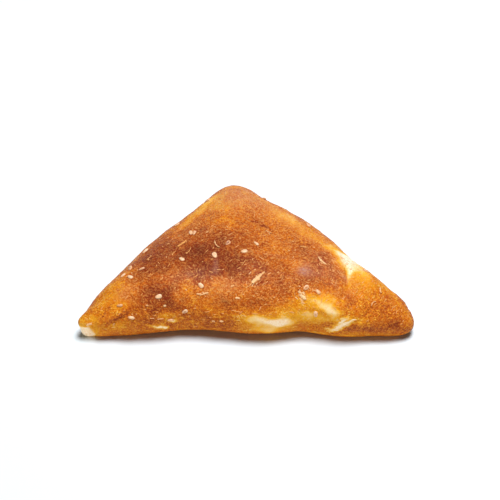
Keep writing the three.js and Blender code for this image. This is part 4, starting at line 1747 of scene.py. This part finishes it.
@dataclass
class Sesame:
    """All the sesame seeds: flattened drops, a few of them open hulls with a browned hollow."""

    grid: PodGrid = PodGrid(13, 20)
    finish: SeedFinish = SeedFinish()
    length: float = 3.0
    width: float = 1.8
    thickness: float = 1.0
    girth_power: float = 0.9
    taper: float = 0.28
    ridge: float = 0.1
    ridge_power: int = 8
    hollow_half_width: float = 0.26
    hollow_depth: float = 0.85
    hollow_browning: float = 1.2
    tip_browning: float = 0.4
    tip_start: float = 0.5
    lift: float = 0.16
    draw_seed: int = 5
    length_shares: Span = (0.88, 1.04)
    leans: Span = (-9.0, 9.0)
    tints: Span = (0.0, 0.45)
    # Each seed's x, y, turn, hollow and girth
    seeds: tuple[tuple[float, ...], ...] = (
        (-23.7, 38.4, 100, 0, 0.9), (-22.2, 37.9, 82, 0.4, 0.9), (-27.1, 22, -40, 0, 0.95),
        (-13.2, 23.1, 110, 0.25, 1.15), (-7.7, 29.5, 50, 1, 1), (-0.8, 24.5, 12, 0, 1.1),
        (4.3, 29.2, -45, 0, 0.8), (-18.9, 9.7, -45, 0.2, 0.95), (-36.6, 5.7, 18, 0, 1),
        (-43.2, 32.9, 35, 0, 0.8), (-49.2, 22.4, 100, 0.5, 1), (-52.1, 18.6, 30, 0, 0.7),
        (-48.9, 16.3, -40, 0, 0.95), (-44.2, 19.9, 12, 0, 0.55), (-53, 4.2, 5, 0, 0.6),
        (-48.2, 0.55, -30, 0, 0.75), (-25.7, 2.4, 60, 0.8, 0.9), (-31.9, 1.05, -8, 0, 0.7),
        (25.1, 8.5, 40, 0.5, 1), (30.1, 7.3, -50, 0.2, 0.85), (29.3, 1.2, 85, 0.4, 0.95),
        (-30, 47.5, 30, 0, 1), (-17, 61, -20, 0, 0.9), (8, 64, 75, 0, 1),
        (27, 47.5, -60, 0.3, 0.9), (51, 22, 15, 0, 0.9),
    )

    def scraps(self) -> list[Scrap]:
        """Each seed with its own seeded size, lean and tint.

        Returns:
            The seeds, in the order of their rows.
        """
        draw = np.random.default_rng(self.draw_seed)
        made = []
        for x, y, turn, hollow, girth in self.seeds:
            length = self.length * draw.uniform(*self.length_shares)
            lean, tint = draw.uniform(*self.leans), draw.uniform(*self.tints)
            sizes = (length, self.width * girth, self.thickness)
            made.append(Scrap(x, y, turn, *sizes, tint, lean=lean, hollow=hollow))
        return made

    def drop(self, scrap: Scrap) -> tuple[Array, Array]:
        """One seed about its own middle: a ball flattened and drawn to a point at one end.

        The girth at each angle from the blunt end is a power of the angle's sine, made narrower
        towards the pointed end by the taper, and a low ridge runs along the upper side. A hull
        is hollowed from above by a bell of the distance from its middle.

        Args:
            scrap: The seed's sizes.

        Returns:
            Points along, across and out of the crust, and how brown each is.
        """
        polar, around = self.grid.angles()
        girth = np.sin(polar) ** self.girth_power * (1 + self.taper * np.cos(polar))
        ridge = 1 + self.ridge * np.cos(around - TURN / 4) ** self.ridge_power
        along = np.cos(polar) * scrap.length / 2
        across = girth * np.cos(around) * scrap.width / 2
        out = girth * np.sin(around) * ridge * scrap.thickness / 2
        from_middle = np.hypot(along / scrap.length, across / scrap.width)
        middle = bell(from_middle, self.hollow_half_width) * (out > 0)
        out = out * (1 - self.hollow_depth * scrap.hollow * middle) + self.lift
        tip = self.tip_browning * smoothstep(-np.cos(polar), self.tip_start, 1.0)
        brown = scrap.tint + tip + self.hollow_browning * scrap.hollow * middle
        return np.column_stack([along, across, out]), brown

    def build(self, finder: SkinFinder, placement: Placement) -> bpy.types.Object:
        """Joins every seed into one piece on the crust.

        Args:
            finder: Where the crust is.
            placement: Where the frame has it.

        Returns:
            The finished piece.
        """
        litter = Litter("sesame", finder)
        for scrap in self.scraps():
            litter.lay(scrap, self.grid, *self.drop(scrap))
        return litter.build(placement, self.finish.make())


@dataclass(frozen=True)
class Strewing:
    """Fibres strewn at random over one part of the crust, mostly along one heading."""

    middle: Span
    spread: Span
    heading: float
    scatter: float
    count: int
    tints: Span = (0.5, 0.8)
    least_length: float = 0.45
    length_shape: float = 4.0
    length_scale: float = 0.23
    widths: Span = (0.24, 0.4)
    bends: Span = (-0.05, 0.05)
    thickness: float = 0.3

    def scraps(self, draw: np.random.Generator) -> list[Scrap]:
        """Thin bent fibres whose places and headings are drawn about the middle values.

        Args:
            draw: The seeded source of numbers.

        Returns:
            The fibres.
        """
        places = draw.normal(self.middle, self.spread, (self.count, 2))
        turns = draw.normal(self.heading, self.scatter, self.count)
        lengths = draw.gamma(self.length_shape, self.length_scale, self.count) + self.least_length
        made = []
        for (x, y), turn, length in zip(places, turns, lengths):
            width = draw.uniform(*self.widths)
            bend, tint = draw.uniform(*self.bends), draw.uniform(*self.tints)
            sizes = (float(length), width, self.thickness)
            made.append(Scrap(float(x), float(y), turn, *sizes, tint, bend=bend))
        return made


@dataclass(frozen=True)
class Ripple:
    """One wave along a flake's edge: its height, its turns and how far its phase moves it."""

    height: float
    turns: int
    shift: int = 1

    def at(self, polar: Array, phase: float) -> Array:
        """The height times the sine of the turns times the angle, plus the moved phase."""
        return self.height * np.sin(self.turns * polar + self.shift * phase)


@dataclass
class Flakes:
    """Loose flakes of crust and hull, fibres and crumbs, one joined piece of thin slivers."""

    grid: PodGrid = PodGrid(41, 8)
    small_grid: PodGrid = PodGrid(9, 6)
    finish: FlakeFinish = FlakeFinish()
    lift: float = 0.12
    small_lift: float = 0.0
    ragged: float = 0.4
    phase_steps: Span = (3.1, 1.7)
    edge_waves: tuple[Ripple, ...] = each(Ripple, (0.5, 5), (0.5, 9, 2))
    fringe: Ripple = Ripple(0.6, 23, 3)
    sway: Ripple = Ripple(0.12, 3)
    draw_seed: int = 8
    crumb_count: int = 110
    crumb_length: Span = (0.45, 1.1)
    crumb_shares: Span = (0.12, 0.88)
    crumb_squared_reaches: Span = (0.02, 0.6)
    crumb_turns: Span = (0.0, 180.0)
    crumb_tints: Span = (0.3, 1.0)
    crumb_slimness: float = 0.5
    crumb_thickness: float = 0.3
    # Each flake's x, y, turn, length, width, thickness and tint, then its curl and bend if any
    flakes: tuple[Scrap, ...] = each(
        Scrap,
        (4.3, 11.6, 46, 4.8, 1.8, 0.4, 0.4, 0.2), (6.4, 13.8, 38, 3.6, 0.9, 0.35, 0.5, 0.3),
        (2.2, 9.8, 60, 2.4, 0.5, 0.3, 0.8, 0.1), (-19.4, 6.7, -8, 2.6, 0.8, 0.4, 0.45, 0.1),
        (-16.9, 6.9, 22, 2.6, 0.7, 0.4, 0.35, 0.1), (23.9, 5.4, -46, 3.0, 1.4, 0.4, 0.1, 0.2),
        (22.6, 6.8, -40, 2.0, 0.8, 0.35, 0.3, 0.2), (32, 22.3, -42, 4.6, 0.9, 0.4, 0.35, 0.2, 0.2),
        (-27.2, 32, 40, 5, 1.0, 0.35, 1.0, 0.2), (-12.6, 28.6, -60, 4.6, 0.5, 0.4, 0.4, 0.5, 0.5),
        (56.8, 12.5, 95, 3, 0.9, 0.4, 0.5, 0.2), (-66.1, 0.6, 55, 3.0, 1.3, 0.5, 0.25, 0.2),
        (53.2, 5.6, 55, 3.0, 0.5, 0.35, 0.5, 0.4, -0.7), (24.6, 30.4, 5, 3.4, 0.7, 0.3, 0.8, 0.2),
        (9.6, 37.6, -35, 3.0, 0.7, 0.3, 0.4, 0.2), (-5.6, 8.9, 20, 1.6, 0.9, 0.3, 0.6, 0.1),
        (-3.5, 4.8, -10, 1.9, 0.8, 0.4, 0.2, 0.1), (-10.3, 0.35, 0, 1.6, 0.9, 0.4, 0.2, 0.1),
        (-13.7, 0.7, 30, 1.4, 0.8, 0.4, 0.4, 0.1), (-34, 3.2, 40, 1.1, 0.8, 0.4, 0.1, 0.1),
        (-41.4, 3.1, 0, 1.1, 0.7, 0.4, 0.5, 0.1), (-55.7, 0.2, 60, 1.4, 0.8, 0.4, 0.6, 0.1),
        (-36, 0.6, 14, 2.6, 0.5, 0.3, 0.45), (-39.5, 0.4, -16, 2.0, 0.4, 0.3, 0.5),
    )
    # Each strewing's middle, spread, heading, scatter and count, then its tints if not the usual
    strewings: tuple[Strewing, ...] = each(
        Strewing,
        ((54, 9), (6.5, 5), 58, 12, 40, (0.8, 1.1)), ((38, 22), (5, 6), -48, 18, 42),
        ((0, 36), (18, 12), 20, 60, 60), ((-30, 20), (14, 9), 35, 45, 44, (0.6, 0.95)),
        ((12, 12), (16, 5), 25, 35, 44), ((-4, 58), (8, 6), -38, 20, 24),
        ((30, 4), (12, 2), 40, 60, 16), ((4.8, 11.9), (1.3, 1.2), 44, 9, 16, (0.2, 0.8)),
        ((23.5, 5.9), (1.0, 1.0), -45, 30, 24, (0.0, 0.4)),
        ((-18.2, 6.7), (1.3, 0.4), 8, 20, 8, (0.3, 0.7)),
        ((66, 5), (3.5, 2.4), 60, 20, 16, (0.7, 1.1)), ((-56, 10), (7, 5), 38, 14, 26, (0.7, 1.1)),
        ((-20, 1.2), (15, 0.7), 5, 20, 26, (0.6, 1.0)),
    )

    def sliver(self, scrap: Scrap, grid: PodGrid, ragged: float, lift: float) -> Array:
        """One flake about its own middle: a thin pod with ragged sides, curled and bent.

        The half-width is the root of the angle's sine, made ragged by three sine waves whose
        phase depends on the flake's place. The curl lifts both ends and the bend carries them
        sideways, each by the square of the distance along.

        Args:
            scrap: The flake's sizes.
            grid: The grid that its points lie on.
            ragged: How uneven its sides are.
            lift: How far its middle stands off the crust.

        Returns:
            Points along, across and out of the crust.
        """
        polar, around = grid.angles()
        phase = scrap.x * self.phase_steps[0] + scrap.y * self.phase_steps[1]
        waves = sum(wave.at(polar, phase) for wave in self.edge_waves)
        fringe = self.fringe.at(polar, phase) * np.cos(around)
        root = np.sqrt(np.sin(polar))
        half_width = root * (1 + ragged * (waves + fringe)) * scrap.width / 2
        share = np.cos(polar)
        across = half_width * np.cos(around) + ragged * scrap.width * self.sway.at(polar, phase)
        across += scrap.bend * share**2 * scrap.length / 4
        out = root * np.sin(around) * scrap.thickness / 2 + lift + scrap.curl * share**2
        return np.column_stack([share * scrap.length / 2, across, out])

    def crumbs(self, loaf: Loaf, draw: np.random.Generator) -> list[Scrap]:
        """Crumbs at seeded places of the upper skin, each shorter than a seed.

        Args:
            loaf: The form that they are strewn over.
            draw: The seeded source of numbers.

        Returns:
            The crumbs.
        """
        side = draw.integers(0, len(Side), self.crumb_count)
        share = draw.uniform(*self.crumb_shares, self.crumb_count)
        reach = np.sqrt(draw.uniform(*self.crumb_squared_reaches, self.crumb_count))
        places = loaf.upper(RimPlaces(side, share), reach)
        lengths = draw.uniform(*self.crumb_length, self.crumb_count)
        made = []
        for (x, y, _), length in zip(places, lengths):
            turn, tint = draw.uniform(*self.crumb_turns), draw.uniform(*self.crumb_tints)
            sizes = (length, length * self.crumb_slimness, self.crumb_thickness)
            made.append(Scrap(float(x), float(y), turn, *sizes, tint))
        return made

    def build(self, finder: SkinFinder, placement: Placement, loaf: Loaf) -> bpy.types.Object:
        """Joins every flake, fibre and crumb into one piece on the crust.

        Args:
            finder: Where the crust is.
            placement: Where the frame has it.
            loaf: The form that the crumbs are strewn over.

        Returns:
            The finished piece.
        """
        draw = np.random.default_rng(self.draw_seed)
        small = [scrap for strewing in self.strewings for scrap in strewing.scraps(draw)]
        small += self.crumbs(loaf, draw)
        litter = Litter("flakes", finder)
        for scraps, grid, ragged, lift in (
            (self.flakes, self.grid, self.ragged, self.lift),
            (small, self.small_grid, 0.0, self.small_lift),
        ):
            for scrap in scraps:
                own = self.sliver(scrap, grid, ragged, lift)
                litter.lay(scrap, grid, own, np.array(scrap.tint))
        return litter.build(placement, self.finish.make())


@dataclass(frozen=True)
class Lamp:
    """An oblong soft light that faces the pastry, placed and sized in metres, in watts."""

    name: str
    place: Place
    sides: Span
    power: float
    tone: Colour

    def hang(self) -> None:
        """Adds the light to the scene."""
        data = bpy.data.lights.new(self.name, "AREA")
        data.shape = "RECTANGLE"
        data.size, data.size_y = self.sides
        data.energy = self.power
        data.color = self.tone
        lamp = bpy.data.objects.new(self.name, data)
        lamp.location = self.place
        lamp.rotation_mode = "QUATERNION"
        lamp.rotation_quaternion = (-Vector(self.place)).to_track_quat("-Z", "Y")
        bpy.context.scene.collection.objects.link(lamp)


@dataclass(frozen=True)
class Studio:
    """The pale floor, the soft light and the camera at the photograph's angle."""

    floor_size: float = 6.0
    floor_tone: Colour = (0.7, 0.77, 0.82)
    floor_roughness: float = 0.8
    sky_strength: float = 0.035
    lamps: tuple[Lamp, ...] = each(
        Lamp,
        ("back_softbox", (0.12, 0.13, 1.1), (0.44, 0.44), 19.0, (1.0, 1.0, 1.0)),
        ("front_fill", (-0.1, -1.2, 0.07), (1.5, 0.12), 6.8, (1.0, 0.84, 0.58)),
    )
    target: Place = (1.7, 38.0, 12.7)
    elevation: float = 52.0
    distance: float = 0.76
    picture_side: int = 500
    pixels_per_mm: float = 2.303
    sensor: float = 36.0

    def floor(self) -> None:
        """Adds the floor."""
        half = self.floor_size / 2
        corners = np.array([[-half, -half, 0], [half, -half, 0], [half, half, 0], [-half, half, 0]])
        floor = build_mesh("floor", corners, np.array([[0, 1, 2, 3]]))
        inputs = {"Base Color": (*self.floor_tone, 1.0), "Roughness": self.floor_roughness}
        floor.data.materials.append(NodeBoard("pale_floor").surface(inputs))

    def sky(self) -> None:
        """Fills the surroundings with even white light."""
        world = bpy.data.worlds.new("white_room")
        world.use_nodes = True
        background = world.node_tree.nodes["Background"]
        background.inputs["Color"].default_value = (1.0, 1.0, 1.0, 1.0)
        background.inputs["Strength"].default_value = self.sky_strength
        bpy.context.scene.world = world

    def camera(self, placement: Placement) -> None:
        """Puts the camera at the photograph's angle and framing.

        Args:
            placement: Where the frame has the pastry.
        """
        angle = math.radians(self.elevation)
        back = Vector((0.0, -math.cos(angle), math.sin(angle)))
        target = Vector(placement.metres(np.array(self.target)))
        data = bpy.data.cameras.new("camera")
        data.sensor_width = self.sensor
        focal_pixels = self.pixels_per_mm * self.distance / MM
        data.lens = focal_pixels * self.sensor / self.picture_side
        camera = bpy.data.objects.new("camera", data)
        camera.location = target + back * self.distance
        camera.rotation_mode = "QUATERNION"
        camera.rotation_quaternion = (-back).to_track_quat("-Z", "Y")
        bpy.context.scene.collection.objects.link(camera)
        bpy.context.scene.camera = camera

    def build(self, placement: Placement) -> None:
        """Sets up the whole studio.

        Args:
            placement: Where the frame has the pastry.
        """
        self.floor()
        self.sky()
        for lamp in self.lamps:
            lamp.hang()
        self.camera(placement)
        bpy.context.scene.view_settings.view_transform = "Standard"


def main() -> None:
    """Builds the crust, the seeds and the flakes, then the studio, and reports each piece."""
    logging.basicConfig(level=logging.INFO, format="%(message)s")
    crust = Crust()
    skin = crust.skin()
    placement = Placement.onto_node(skin.points)
    finder = SkinFinder(skin)
    pieces = {
        "crust": crust.build(skin, placement),
        "sesame": Sesame().build(finder, placement),
        "flake": Flakes().build(finder, placement, crust.loaf),
    }
    for slot, piece in pieces.items():
        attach(piece, BODY)
        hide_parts(PASTRY_NODE)
        LOG.info("%s: %d triangles", piece.name, len(piece.data.polygons))
    Studio().build(placement)


if __name__ == "__main__":
    main()
